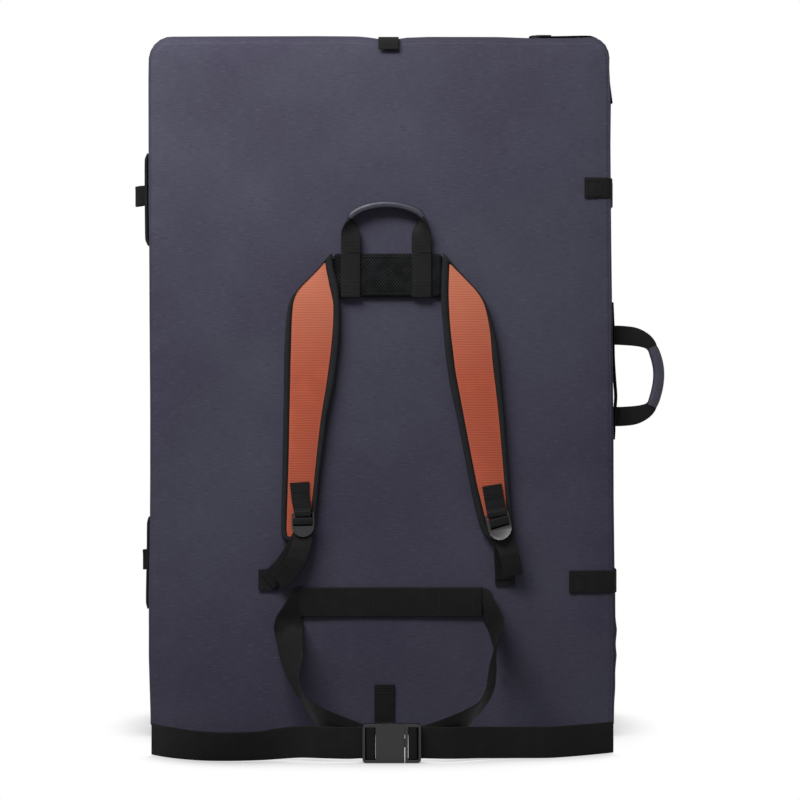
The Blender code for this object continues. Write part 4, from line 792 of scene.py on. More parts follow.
def rounded_sheet(half_width, low, high, top_radius, bottom_radius, spacing):
    """A grid over a rounded rectangle: its four sides are blended, each point being the mean across plus the mean up,
    less the mean of the corners. Also the outline, anticlockwise, and its outward directions."""
    wide, tall = 2 * half_width, high - low
    across, up = int(round(wide / spacing)), int(round(tall / spacing))
    x, z = np.array([1.0, 0.0]), np.array([0.0, 1.0])
    corners = [np.array(c) for c in ((-half_width, low), (half_width, low), (half_width, high), (-half_width, high))]
    b, t = bottom_radius, top_radius
    bottom, bottom_out = side_of_outline(corners[0], x, -z, wide, (b, b), across + 1)
    right, right_out = side_of_outline(corners[1], z, x, tall, (b, t), up + 1)
    top, top_out = side_of_outline(corners[2], -x, z, wide, (t, t), across + 1)
    left, left_out = side_of_outline(corners[3], -z, -x, tall, (t, b), up + 1)
    u, v = np.linspace(0, 1, across + 1)[None, :, None], np.linspace(0, 1, up + 1)[:, None, None]
    sides = (1 - v) * bottom[None] + v * top[::-1][None] + (1 - u) * left[::-1][:, None] + u * right[:, None]
    ends = (1 - u) * (1 - v) * bottom[0] + u * (1 - v) * bottom[-1] + u * v * top[0] + (1 - u) * v * top[-1]
    loop = np.concatenate([bottom[:-1], right[:-1], top[:-1], left[:-1]])
    loop_out = np.concatenate([bottom_out[:-1], right_out[:-1], top_out[:-1], left_out[:-1]])
    return sides - ends, loop, unit(loop_out)


def ripple(x, z, seed):
    """Slow, shallow waves: the sum of a few sines at seeded slants and lengths, between -1 and 1."""
    made = np.zeros_like(x)
    rng = np.random.default_rng(seed)
    for _ in range(7):
        slant, wave, phase = rng.uniform(0, math.pi), rng.uniform(0.11, 0.34), rng.uniform(0, 2 * math.pi)
        made += np.sin((x * math.cos(slant) + z * math.sin(slant)) * 2 * math.pi / wave + phase)
    return made / 7


def face_depth(x, z, crown, seed):
    """How far the face lies behind its plane: a crown that falls back near the edges, shallow waves, and puckers that
    run in from the edges and die out in 35 mm."""
    edge = np.minimum(HALF_WIDTH - np.abs(x), np.minimum(PAD_HEIGHT + 0.004 - z, z + 0.004))
    fall = np.clip(1 - edge / 0.045, 0, 1)
    along = np.where(HALF_WIDTH - np.abs(x) < np.minimum(PAD_HEIGHT - z, z), z, x)
    gather = np.sin(along * 2 * math.pi / 0.037 + 2.2 * np.sin(along * 9.0 + seed))
    gather = gather * np.clip(1 - edge / 0.035, 0, 1) ** 2
    return crown * fall**2 + 0.0006 * (1 + ripple(x, z, seed)) + 0.00035 * (1 + gather)


EDGE_ANGLES = np.radians([8, 18, 27, 33, 37, 41, 45, 49, 53, 60, 70, 80, 90])
SEAM_RING = 9
WALL_DEPTHS = np.array([8, 10, 12.5, 15.5, 19, 24, 30, 37, 45, 54, 63, 71, 78, 83, 86, 87.4, 88.0]) * MM


def cover_profile(welt):
    """(out, depth) from the face's rim over the rounded edge, where the seam stands up as a welt, and down the wall,
    which is fullest in its middle."""
    bump = EDGE_ROUND + welt * np.exp(-(((np.degrees(EDGE_ANGLES) - 44) / 5) ** 2))
    edge = np.stack([bump * np.sin(EDGE_ANGLES), EDGE_ROUND - bump * np.cos(EDGE_ANGLES)], axis=1)
    middle = HALF_DEPTH / 2
    fullest = WALL_BULGE * (1 - ((WALL_DEPTHS - middle) / middle) ** 2)
    start = WALL_BULGE * (1 - ((EDGE_ROUND - middle) / middle) ** 2)
    last_seam = 0.6 * welt * np.exp(-(((WALL_DEPTHS - 0.086) / 0.0012) ** 2))
    wall = np.stack([EDGE_ROUND + fullest - start + last_seam, WALL_DEPTHS], axis=1)
    return np.vstack([edge, wall])


def cover_piece(context, name, face_y, side, share, seed):
    """The cover of one half: the crowned face is a grid over a rounded rectangle, and rings carry its rim over the
    edge and along the wall towards the fold."""
    sizes = context.scene.crash_pad_sizes
    profile = cover_profile(sizes.welt)
    middle = HALF_DEPTH / 2
    inset = EDGE_ROUND + WALL_BULGE * ((EDGE_ROUND - middle) / middle) ** 2
    grid, loop, out = rounded_sheet(
        HALF_WIDTH - inset, inset, PAD_HEIGHT - inset, TOP_CORNER - inset, BOTTOM_CORNER - inset, sizes.grid
    )
    x, z = grid[..., 0], grid[..., 1]
    rim_x, rim_z = np.abs(x) / (HALF_WIDTH - inset), z / (PAD_HEIGHT - inset)
    towards_side = np.sign(x) * np.clip((rim_x - 0.6) / 0.4, 0, 1) ** 2
    towards_top = np.clip((rim_z - 0.75) / 0.25, 0, 1) ** 2
    x = x + np.sign(x) * wall_stand(0.0, x, z, towards_side, 0 * z, share)
    z = z + wall_stand(0.0, x, z, 0 * x, towards_top, share)
    face = np.stack([x, face_y + side * face_depth(x, z, sizes.crown_drop, seed), z], axis=-1)
    rim = rim_of(face)
    rim_depth = side * (rim[:, 1] - face_y)
    where = (loop[:, 0], loop[:, 1], out[:, 0], out[:, 1], share)
    first = wall_stand(0.0, *where)
    rings = [rim]
    for away, deep in profile:
        push = away + wall_stand(deep, *where) - first
        y = face_y + side * (deep + rim_depth * math.exp(-((deep / RIM_FADE) ** 2)))
        low = np.maximum(rim[:, 2] + out[:, 1] * push, FLOOR_GAP)
        rings.append(np.stack([rim[:, 0] + out[:, 0] * push, y, low], axis=1))
    rings = np.array(rings)
    uv = ring_places(run_along(loop, closed=True), np.concatenate([[0.0], profile[:, 1]]))
    patches = [
        Patch(face, np.stack([x, z], axis=-1), outward=(0, -side, 0)),
        Patch(rings[: SEAM_RING + 1], uv[: SEAM_RING + 1], wrapped=True, outward=(0, -side, 0)),
        # Past the seam the wall takes the darker wall finish, painted shade
        Patch(rings[SEAM_RING:], uv[SEAM_RING:], wrapped=True, finish=1),
    ]
    obj = lay_mesh(name, patches, [finish(context, "cover"), finish(context, "wall")], 60)
    solid = obj.modifiers.new("cloth_thickness", "SOLIDIFY")
    solid.thickness = CLOTH
    solid.offset = -1
    return obj


def ring_at(line, out, away, y):
    """A ring at a depth y that stands away from a line (x, z) or (x, y, z) along its outward directions."""
    return np.stack([line[:, 0] + out[:, 0] * away, np.full(len(line), y), line[:, -1] + out[:, 1] * away], axis=1)


def landing_piece(context, name, y_outer, y_inner):
    """The landing cloth of one half, a flat rounded sheet: its grid is bordered by rings that turn over its edge."""
    inset = LANDING_INSET
    spacing = context.scene.crash_pad_sizes.grid * 2
    grid, loop, out = rounded_sheet(
        HALF_WIDTH - inset, inset, PAD_HEIGHT - inset, TOP_CORNER - inset, BOTTOM_CORNER - inset, spacing
    )
    middle, half = (y_outer + y_inner) / 2, (y_outer - y_inner) / 2
    front, back = (
        np.stack([grid[..., 0], np.full(grid.shape[:2], y), grid[..., 1]], axis=-1) for y in (y_outer, y_inner)
    )
    angle = np.linspace(math.pi / 2, -math.pi / 2, 7)
    rings = np.array([ring_at(loop, out, LANDING_EDGE * math.cos(a), middle + half * math.sin(a)) for a in angle])
    facing = 1 if y_outer > y_inner else -1
    patches = [
        Patch(front, grid, outward=(0, facing, 0)),
        Patch(back, grid, outward=(0, -facing, 0)),
        Patch(rings, ring_places(run_along(loop, closed=True), angle * 0.001), wrapped=True),
    ]
    return lay_mesh(name, patches, [finish(context, "landing")], 50)


class CRASHPAD_OT_covers(bpy.types.Operator):
    """Sews the covers of both halves, lays the landing cloth between them and gives the foam its finish"""

    bl_idname = "crashpad.covers"
    bl_label = "Covers"

    def execute(self, context):
        front = cover_piece(context, "front_cover_cloth", FRONT_Y, 1, 1.0, 3)
        settle(front, "front_half", "cover_nylon", "front_cover")
        rear = cover_piece(context, "rear_cover_cloth", REAR_Y, -1, REAR_SHARE, 8)
        settle(rear, "rear_half", "cover_nylon", "rear_cover")
        front_landing = landing_piece(context, "front_landing_cloth", 0.0450, 0.0434)
        settle(front_landing, "front_half", "landing_nylon", "front_landing_panel")
        rear_landing = landing_piece(context, "rear_landing_cloth", 0.0460, 0.0476)
        settle(rear_landing, "rear_half", "landing_nylon", "rear_landing_panel")
        for half in ("front", "rear"):
            for word in ("base_foam", "top_foam"):
                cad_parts[f"{half}_{word}"].material_slots[0].material = finish(context, word)
        return {"FINISHED"}


# Where webbing begins to leave the faces for the side walls and for the top wall
SIDE_FROM = 0.25
TOP_FROM = 0.86


def stood(rows, x_share=1.0, z_share=0.0):
    """Rows in millimetres of webbing on a wall, moved out with the cover by its stand at their height and depth."""
    rows = np.array(rows, dtype=float)
    x, y, z = rows[:, 0] * MM, rows[:, 1] * MM, rows[:, 2] * MM
    on_front = y < FOLD[1]
    depth = np.where(on_front, y - FRONT_Y, REAR_Y - y)
    share = np.where(on_front, 1.0, REAR_SHARE)
    beside = np.clip((np.abs(x) - SIDE_FROM) / 0.04, 0, 1) * x_share
    above = np.clip((z - TOP_FROM) / 0.028, 0, 1) * z_share
    rows[:, 0] += np.sign(x) * wall_stand(depth, x, z, np.sign(x) * beside, 0 * z) / MM * share
    rows[:, 2] += wall_stand(depth, x, z, 0 * x, above) / MM * share
    return rows


class CRASHPAD_OT_spine(bpy.types.Operator):
    """Sews the fabric hinge and the strips and loops on the spine"""

    bl_idname = "crashpad.spine"
    bl_label = "Spine"

    def execute(self, context):
        path = [(-294.8, 27.5, 445), (-297.2, 38.5, 445), (-301.4, 43.6, 445), (-302.3, 45.5, 445)]
        path += [(-301.4, 47.4, 445), (-297.2, 52.5, 445), (-294.8, 63.5, 445)]
        route = rounded(route_of(path, 0.790, 0.0012, (0, 0, 1)), TURN_STEP, 0.004)
        tall = np.linspace(-1, 1, 61)
        points, uv = carried(route, np.array([(t, -1) for t in tall] + [(t, 1) for t in tall[::-1]]))
        patch = Patch(points, uv[..., ::-1], wrapped=True, capped=True)
        hinge = lay_mesh("spine_hinge_cloth", [patch], [finish(context, "webbing")], 40)
        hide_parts("spine_hinge_web")
        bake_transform(hinge)
        lines = []
        for word, strip_z, loop_z, bow, pull in (
            ("upper", 692, 698, 1.0, (-13.0, 0, -1.6)),
            ("lower", 221, 225, 0.6, (-5.4, 0, -0.8)),
        ):
            rows = [(-0.3, -59), (-2.6, -54), (-3.5, -48), (-3.6, -18), (-3.6, 0)]
            path = [(-295.8 + x * bow, -5, strip_z + dz) for x, dz in rows]
            path += [(-295.8 + x * bow, -5, strip_z - dz) for x, dz in rows[-2::-1]]
            route = laid(context, stood(path), NARROW, (0, 1, 0), 0.0040)
            strip = sewn(context, f"{word}_spine_tape", [route], "front_half", f"{word}_spine_strip")
            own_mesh(strip)
            near = stood([(-298.2 - 3.6 * bow, -5, loop_z)])[0]
            far = near + pull
            reach, drop = far[0] - near[0], far[2] - near[2]
            bends = [(-0.08, -1.2, 0), (0.26, -2.4, 0.06), (0.62, -2.8, 0.5), (0.92, -1.9, 0.92), (1, 0, 1)]
            bends += [(x, -y, z) for x, y, z in bends[-2::-1]]
            loop = [near + (x * reach, y, z * drop) for x, y, z in bends]
            route = rounded(route_of(loop, 0.026, 0.0014, (0, 0, 1)), THREAD_STEP, TURN_SOFT)
            tab = sewn(context, f"{word}_spine_pull", [route], "front_half", f"{word}_spine_loop")
            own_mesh(tab)
            for end in (strip_z - 52, strip_z + 52):
                lines.append(stood([(-297.6, -16, end), (-297.6, 6, end)]) + (-0.9, 0, 0))
        front, rear = ([(-295.9, y, 54), (-295.9, y, 836)] for y in (30.5, 60.5))
        stitching(context, "spine_stitches", [*lines, front], "front_half", [(-1, 0, 0)] * 5)
        stitching(context, "rear_spine_stitches", [rear], "rear_half", [(-1, 0, 0)])
        return {"FINISHED"}


class CRASHPAD_OT_zip(bpy.types.Operator):
    """Sews the zip round the top right corner and hangs its slider"""

    bl_idname = "crashpad.zip"
    bl_label = "Zip"

    def execute(self, context):
        path = [(190, -29, 889.9), (225, -29, 889.9), (260.9, -29, 889.9), (268.1, -29, 888.9), (274.9, -29, 886.1)]
        path += [(280.7, -29, 881.7), (285.1, -29, 875.9), (287.9, -29, 869.1), (288.9, -29, 861.9)]
        path += [(291.5, -29, 841.9), (293.9, -29, 813.9)]
        rows = np.array(path, dtype=float)
        slope = unit(np.gradient(rows[:, [0, 2]], axis=0))
        normal = np.stack([-slope[:, 1], slope[:, 0]], axis=1)
        stand = wall_stand(0.016, rows[:, 0] * MM, rows[:, 2] * MM, normal[:, 0], normal[:, 1]) / MM + 0.5
        rows[:, 0] += normal[:, 0] * stand
        rows[:, 2] += normal[:, 1] * stand
        route = curved(route_of(rows, 0.010, 0.0010, (0, 1, 0)), 0.0020)
        coil = route.copy()
        coil[:, 6:] = (0.0042, 0.0026)
        courses = [(route, STRIP), (coil, superellipse(2.4, 14))]
        patches = [Patch(*carried(*course), wrapped=True, capped=True) for course in courses]
        tape = lay_mesh("zip_coil_tape", patches, [finish(context, "coil")], 40)
        settle(tape, "front_half", "black_webbing", "zip_tape")
        slider = softened(context, "zip_slider_cast", "zip_slider", "metal")
        slider.data.transform(Matrix.Translation(SLIDER_MOVE))
        settle(slider, "slider", "zip_metal", "zip_slider")
        return {"FINISHED"}


# Courses of the closures' webbing in millimetres, seen from above: over the front half's wall and the rear half's
FRONT_COURSE = [(270.6, -45.2), (286.2, -43.1), (290.2, -42.0), (293.2, -39.1), (294.3, -35.0), (295.6, -18.4)]
FRONT_COURSE += [(296.1, 0), (295.6, 18.4), (295.3, 23.1), (296.6, 26.5), (296.6, 40.7), (304.0, 40.7)]
FRONT_COURSE += [(304.0, 34.9), (298.6, 34.9), (298.6, 26.5), (299.4, 13.5)]
REAR_COURSE = [(235, 137.1), (255, 137.1), (270.6, 136.2), (286.2, 134.1), (290.2, 133.0), (293.2, 130.1)]
REAR_COURSE += [(294.3, 126.0), (295.6, 109.4), (296.1, 91.0), (296.1, 87.4), (296.6, 84.0), (296.6, 69.8)]
REAR_COURSE += [(304.0, 69.8), (304.0, 75.6)]
# The same for the closure on top, seen from the side: depth and height, its loose end, and its place across
TOP_COURSE = [(0, 891.1), (18.4, 890.6), (23.1, 890.3), (26.5, 891.6), (40.7, 891.6), (40.7, 899.0)]
TOP_COURSE += [(34.9, 899.0), (34.9, 893.6)]
TOP_TAIL = [(26.5, 894.6), (8, 896.4), (-12, 898.6), (-32, 898.2), (-42.5, 896.3), (-46.9, 891.0), (-47.6, 885)]
TOP_TAIL += [(-47.9, 880.2)]
TOP_REAR = [(137.1, 830), (137.1, 850), (136.2, 865.6), (134.1, 881.2), (133, 885.2), (130.1, 888.2), (126, 889.3)]
TOP_REAR += [(109.4, 890.6), (91, 891.1), (87.4, 891.1), (84, 891.6), (69.8, 891.6), (69.8, 899), (75.6, 899)]
TOP_X = 9


class CRASHPAD_OT_closures(bpy.types.Operator):
    """Threads the webbing of the three closures through their side-release buckles"""

    bl_idname = "crashpad.closures"
    bl_label = "Closures"

    def execute(self, context):
        lines = []
        for word, z, start, width in (("upper", 703.5, 259.5, 0.0262), ("lower", 199.5, 240, 0.0290)):
            front = stood([(x, y, z) for x, y in [(start, -46.1), *FRONT_COURSE]])
            rear = stood([(x, y, z) for x, y in REAR_COURSE])
            self.straps(context, word, front, rear, width, (0, 0, 1))
            near, far = start + 3, start + 20
            lines.append([(x, -47.1, z + up) for x, up in ((near, -9.5), (near, 9.5), (far, 9.5), (far, -9.5))])
            lines[-1].append(lines[-1][0])
        front = np.vstack([stood([(TOP_X, *place) for place in TOP_COURSE], 0, 1), [(TOP_X, *p) for p in TOP_TAIL]])
        rear = stood([(TOP_X, *place) for place in TOP_REAR], 0, 1)
        self.straps(context, "top", front, rear, 0.0262, (1, 0, 0), 0.0024)
        for word in ("upper", "lower", "top"):
            for part, body in (("plug", "front_half"), ("socket", "rear_half")):
                node = f"{word}_closure_{part}"
                settle(softened(context, f"{node}_moulding", node), body, "buckle_plastic", node)
        stitching(context, "closure_stitches", lines, "front_half")
        return {"FINISHED"}

    def straps(self, context, word, front, rear, width, across, softness=TURN_SOFT):
        """The two straps of one closure."""
        for part, route in (
            ("front", turning(front, width, across, softness)),
            ("rear", turning(rear, NARROW, across)),
        ):
            node = f"{word}_closure_{part}"
            sewn(context, f"{node}_webbing", [route], f"{part}_half", f"{node}_strap")


# The harness

YOKE = (-61.5, 77.5, 563.0, 619.0)


class CRASHPAD_OT_yoke(bpy.types.Operator):
    """Pads the mesh yoke between the shoulder straps and sews its two webbing strips on"""

    bl_idname = "crashpad.yoke"
    bl_label = "Yoke"

    def execute(self, context):
        left, right, low, high = (v * MM for v in YOKE)
        middle, half = (left + right) / 2, (right - left) / 2
        grid, loop, out = rounded_sheet(half - 0.002, low + 0.002, high - 0.002, 0.0035, 0.0035, 0.0025)
        x, z = grid[..., 0], grid[..., 1]
        edge = np.minimum(half - np.abs(x), np.minimum(high - z, z - low))
        rise = 0.0052 + 0.0018 * np.clip(edge / 0.012, 0, 1) ** 0.6
        rise -= 0.0008 * np.exp(-(((np.abs(x + middle - 0.006) - 0.0453) / 0.013) ** 2))
        face = np.stack([x + middle, SEAT_Y - rise, z], axis=-1)
        back = face.copy()
        back[..., 1] = SEAT_Y
        rings = [rim_of(face)]
        for angle in np.radians([20, 40, 60, 80, 100, 130, 160]):
            away, y = 0.0020 * math.sin(min(angle, math.pi / 2)), SEAT_Y - 0.0026 - 0.0026 * math.cos(angle)
            rings.append(ring_at(rings[0], out, away, y))
        rings = np.array([*rings, rim_of(back)])
        uv = ring_places(run_along(loop, closed=True), np.linspace(0, 0.009, len(rings)))
        patches = [
            Patch(face, grid, outward=(0, -1, 0)),
            Patch(back, grid, outward=(0, 1, 0)),
            Patch(rings, uv, wrapped=True),
        ]
        panel = lay_mesh("yoke_mesh_pad", patches, [finish(context, "mesh")], 50)
        settle(panel, "front_half", "spacer_mesh", "yoke_panel")
        lines = []
        for word, x in (("left", -39.3), ("right", 51.3)):
            path = [(x, -53.4, 563.2), (x, -53.5, 575), (x, -53.6, 590), (x, -53.5, 606), (x, -53.4, 618.6)]
            route = laid(context, path, NARROW, (1, 0, 0))
            sewn(context, f"yoke_tape_{word}", [route], "front_half", f"yoke_webbing_{word}")
            box = [(x - 9.5, -54.3, 566.0), (x + 9.5, -54.3, 566.0), (x + 9.5, -54.4, 584.0), (x - 9.5, -54.4, 584.0)]
            lines += [[*box, box[0]], [box[0], box[2]], [box[1], box[3]]]
        lines += [[(-24, -52.6, z), (36, -52.6, z)] for z in (567.5, 614.5)]
        stitching(context, "yoke_stitches", lines, "front_half")
        return {"FINISHED"}


# Handles: a leg's centre, width direction, width and thickness in millimetres, and places of the grip's middle line,
# first for the grab handle over the yoke and then for the carrying handle
TOP_LEG = [
    (50.9, -53.4, 619.4, 1, 0, 0, 25, 1.7),
    (51.0, -53.4, 633, 1, 0, 0, 25, 1.7),
    (51.2, -53.4, 646, 0.99, -0.14, 0, 24, 2.0),
    (51.6, -53.4, 656, 0.75, -0.65, 0, 18.5, 3.2),
    (51.2, -53.4, 664.5, 0.1, -0.99, 0, 12.5, 5.0),
    (47.5, -53.4, 669.0, 0, -1, 0, 11, 4.4),
]
TOP_GRIP = [(52.6, 665.0), (49.0, 669.2), (43.0, 673.0), (34.0, 676.6), (20.5, 679.9), (6.3, 681.0), (-8.0, 679.8)]
TOP_GRIP += [(-22.0, 676.2), (-31.0, 672.0), (-37.0, 667.6), (-40.0, 663.6)]
SIDE_LEGS = [
    (297.4, -15, 410.4, 0, 0, -1, 25, 1.8),
    (310, -15, 410.8, 0, 0, -1, 25, 1.8),
    (323, -15, 412.4, 0.12, 0, -0.99, 24, 2.2),
    (334, -15, 416.6, 0.42, 0, -0.9, 20, 3.4),
    (342, -15, 422.6, 0.8, 0, -0.6, 15.5, 4.2),
    (346.8, -15, 432.0, 1, 0, -0.15, 11, 4.4),
]
SIDE_GRIP = [(343.6, 424.0), (346.6, 431.0), (349.6, 441), (351.9, 452), (352.9, 463), (352.4, 474), (350.4, 484)]
SIDE_GRIP += [(347.2, 494), (344.2, 500.5)]
# How far the cover under it pushes the side handle out
SIDE_STAND = 6.2


def handle(context, word, legs, points, y, across):
    """A handle: two webbing legs gathered into a core, and round the core a coated tube, both of whose ends are
    drawn in to a cuff. The tube's places lie in a plane along the pad's face."""
    core = curved(route_of([(x, y, z) for x, z in points[1:-1]], 0.0112, 0.0034, across), 0.002)
    routes = [*(curved(route_of(rows, 0), 0.0015) for rows in legs), core]
    sewn(context, f"{word}_handle_tape", routes, f"{word}_handle", f"{word}_handle_webbing")
    rows = np.array([(x, y, z, *across, 14.5, 9.4) for x, z in points])
    rows[0, 6:] = rows[-1, 6:] = (13.0, 7.6)
    rows[1, 6:] = rows[-2, 6:] = (14.2, 9.0)
    tube = Patch(*carried(curved(route_of(rows, 0), 0.0015), superellipse(2.6, 28)), wrapped=True, capped=True)
    sleeve = lay_mesh(f"{word}_handle_sleeve", [tube], [finish(context, "grip")], 60)
    settle(sleeve, f"{word}_handle", "cover_nylon", f"{word}_handle_grip")


class CRASHPAD_OT_handles(bpy.types.Operator):
    """Makes the grab handle over the yoke and the carrying handle on the open side"""

    bl_idname = "crashpad.handles"
    bl_label = "Handles"

    def execute(self, context):
        right = np.array(TOP_LEG)
        left = right * [-1, 1, 1, -1, 1, 1, 1, 1] + [12.0, 0, 0, 0, 0, 0, 0, 0]
        handle(context, "top", (right, left), TOP_GRIP, -53.4, (0, -1, 0))
        lower = np.array(SIDE_LEGS)
        upper = lower * [1, 1, -1, 1, 1, -1, 1, 1] + [0, 0, 926.0, 0, 0, 0, 0, 0]
        upper[:, 2] += np.linspace(0.5, 0, len(upper))
        for rows in (lower, upper):
            rows[:, 0] += SIDE_STAND * np.array([0.1, 0.5, 0.8, 1, 1, 1])
        handle(context, "side", (lower, upper), [(x + SIDE_STAND, z) for x, z in SIDE_GRIP], -15, (1, 0, 0))
        path = [(295.9, 381), (296.6, 392), (297.0, 410), (298.6, 424), (299.4, 438), (298.4, 455), (297.0, 480)]
        path += [(296.6, 500), (296.9, 520), (296.4, 540), (295.8, 558)]
        route = laid(context, stood([(x, -15, z) for x, z in path], 0.85), NARROW, (0, 1, 0))
        sewn(context, "side_handle_backing", [route], "front_half", "side_handle_base")
        return {"FINISHED"}


# Shoulder straps: height, outer edge and inner edge of the binding, and the same of the ribbed face, in millimetres
LEFT_BINDING = [(618.6, -65.2, -62.7), (605.0, -75.8, -61.8), (595.2, -84.8, -59.6), (585.8, -94.3, -57.2)]
LEFT_BINDING += [(577.0, -103.2, -55.2), (569.2, -110.2, -54.2), (562.0, -115.2, -53.6), (554.5, -118.2, -53.2)]
LEFT_BINDING += [(538.0, -120.9, -52.8), (520.8, -122.4, -52.9), (498.3, -123.4, -54.3), (475.5, -124.0, -57.2)]
LEFT_BINDING += [(445.0, -124.2, -61.6), (416.0, -124.8, -68.0), (379.1, -125.4, -73.2), (331.2, -126.3, -79.0)]
LEFT_BINDING += [(300.0, -127.0, -81.6), (280.0, -127.5, -84.6), (264.0, -127.6, -90.5), (252.5, -125.4, -99.0)]
LEFT_FACE = [(606.6, -73.2, -71.4), (597.0, -82.2, -69.9), (585.8, -93.4, -67.4), (577.0, -102.2, -65.6)]
LEFT_FACE += [(569.2, -108.6, -63.6), (560.0, -111.8, -61.6), (552.6, -113.1, -60.6), (538.0, -114.3, -60.6)]
LEFT_FACE += [(520.8, -115.0, -61.4), (498.6, -115.6, -63.4), (475.8, -116.2, -66.2), (445.0, -116.8, -70.6)]
LEFT_FACE += [(416.0, -117.4, -75.4), (379.1, -118.0, -80.2), (342.8, -118.8, -84.0), (311.0, -119.8, -87.2)]
LEFT_FACE += [(291.0, -120.4, -89.4), (276.0, -120.8, -93.5), (266.0, -120.8, -101.0), (258.5, -119.6, -109.0)]
RIGHT_BINDING = [(618.6, 80.9, 78.2), (605.0, 91.6, 77.6), (595.2, 99.8, 77.0), (585.8, 108.6, 76.6)]
RIGHT_BINDING += [(577.0, 117.2, 76.4), (566.0, 127.2, 76.2), (556.0, 133.0, 76.3), (545.0, 137.4, 77.0)]
RIGHT_BINDING += [(526.8, 142.6, 78.6), (509.0, 146.4, 80.2), (490.0, 149.4, 82.0), (464.0, 151.6, 85.4)]
RIGHT_BINDING += [(445.0, 153.4, 88.8), (416.0, 156.2, 95.2), (379.1, 158.6, 102.6), (331.2, 162.2, 111.8)]
RIGHT_BINDING += [(300.0, 165.0, 118.2), (280.0, 166.8, 123.2), (264.0, 168.2, 128.6), (252.5, 166.6, 137.0)]
RIGHT_FACE = [(604.4, 88.6, 86.6), (595.2, 97.6, 86.1), (585.8, 107.0, 85.7), (577.0, 115.6, 85.4)]
RIGHT_FACE += [(568.5, 123.0, 85.2), (556.0, 130.4, 85.4), (538.5, 135.4, 86.2), (516.0, 139.2, 88.0)]
RIGHT_FACE += [(493.0, 141.0, 90.8), (470.0, 143.2, 93.6), (445.0, 146.2, 98.2), (416.0, 149.4, 103.6)]
RIGHT_FACE += [(379.1, 152.6, 110.6), (343.0, 155.6, 117.6), (320.0, 157.4, 122.4), (300.0, 159.2, 127.4)]
RIGHT_FACE += [(283.0, 160.8, 131.6), (270.0, 161.6, 136.0), (262.0, 161.0, 142.5), (257.5, 158.0, 150.0)]


def strap_edges(rows, count):
    """Smooth edges through rows of (height, outer, inner): (count, 3) in metres, at even shares of the way down."""
    line = curved(np.array(rows) * MM, 0.002)
    where = np.linspace(0, 1, len(line))
    return np.stack([np.interp(np.linspace(0, 1, count), where, line[:, k]) for k in range(3)], axis=1)


def strap_loop(edges, ends, softness):
    """A closed loop (x, z) down the outer edge, across the bottom, up the inner edge and over the tip, with its
    corners rounded by a bell-weighted mean of its neighbours."""
    outer, inner = edges[:, [1, 0]], edges[:, [2, 0]]
    share = np.linspace(0, 1, ends + 2)[1:-1, None]
    bottom = outer[-1] + (inner[-1] - outer[-1]) * share
    tip = inner[0] + (outer[0] - inner[0]) * share
    loop = np.vstack([outer, bottom, inner[::-1], tip])
    return blurred(np.vstack([loop[-softness:], loop, loop[:softness]]), softness)


def strap_pad(context, name, face_rows, count=150, wide=15):
    """The padded body of a strap. Its front and back are grids between the two edges: across it, the surface stands
    up by a crown that falls to the seams as the square of the way out, and the two meet in its sides."""
    edges = strap_edges(face_rows, count)
    t = np.linspace(-1, 1, wide)[None, :]
    outer, inner = edges[:, 1:2], edges[:, 2:3]
    centre = (outer + inner) / 2
    x = centre + (outer - inner) / 2 * t
    z = np.repeat(edges[:, :1], wide, axis=1)
    room = np.clip(np.abs(outer - inner) / 0.05, 0.1, 1)
    front = np.stack([x, STRAP_FRONT + 0.0012 - 0.0016 * (1 - t**2) * room, z], axis=-1)
    back = np.stack([x, np.full_like(x, SEAT_Y - 0.0006), z], axis=-1)
    uv = np.stack([x - centre, np.repeat(run_along(edges[:, :1])[:, None], wide, axis=1)], axis=-1)
    patches = [Patch(front, uv, outward=(0, -1, 0)), Patch(back, uv, outward=(0, 1, 0), finish=1)]
    steps = np.linspace(0, 1, 5)
    lean = float(np.sign(edges[0, 1] - edges[0, 2]))
    for column, facing in ((0, -lean), (-1, lean)):
        side = front[:, column, None] + (back - front)[:, column, None] * steps[None, :, None]
        patches.append(Patch(side, uv[:, :5], outward=(facing, 0, 0), finish=1))
    for row, facing in ((0, 1), (-1, -1)):
        end = front[None, row] + (back - front)[None, row] * steps[:, None, None]
        patches.append(Patch(end, np.repeat(uv[None, row], 5, axis=0), outward=(0, 0, facing), finish=1))
    obj = lay_mesh(name, patches, [finish(context, "face"), finish(context, "mesh")], 60)
    co = np.empty(len(obj.data.vertices) * 3)
    obj.data.vertices.foreach_get("co", co)
    co = co.reshape(-1, 3)
    down = edges[::-1]
    high, low = (np.interp(co[:, 2], down[:, 0], down[:, k]) for k in (1, 2))
    share = np.abs(co[:, 0] - (high + low) / 2) / np.maximum(np.abs(high - low) / 2, 1e-5)
    obj.data.attributes.new("edge", "FLOAT", "POINT").data.foreach_set("value", share.astype(np.float32))
    held = np.nonzero((share > 0.9) | (co[:, 1] > STRAP_FRONT + 0.004))[0]
    return swelled(obj, held, context.scene.crash_pad_sizes.swell)


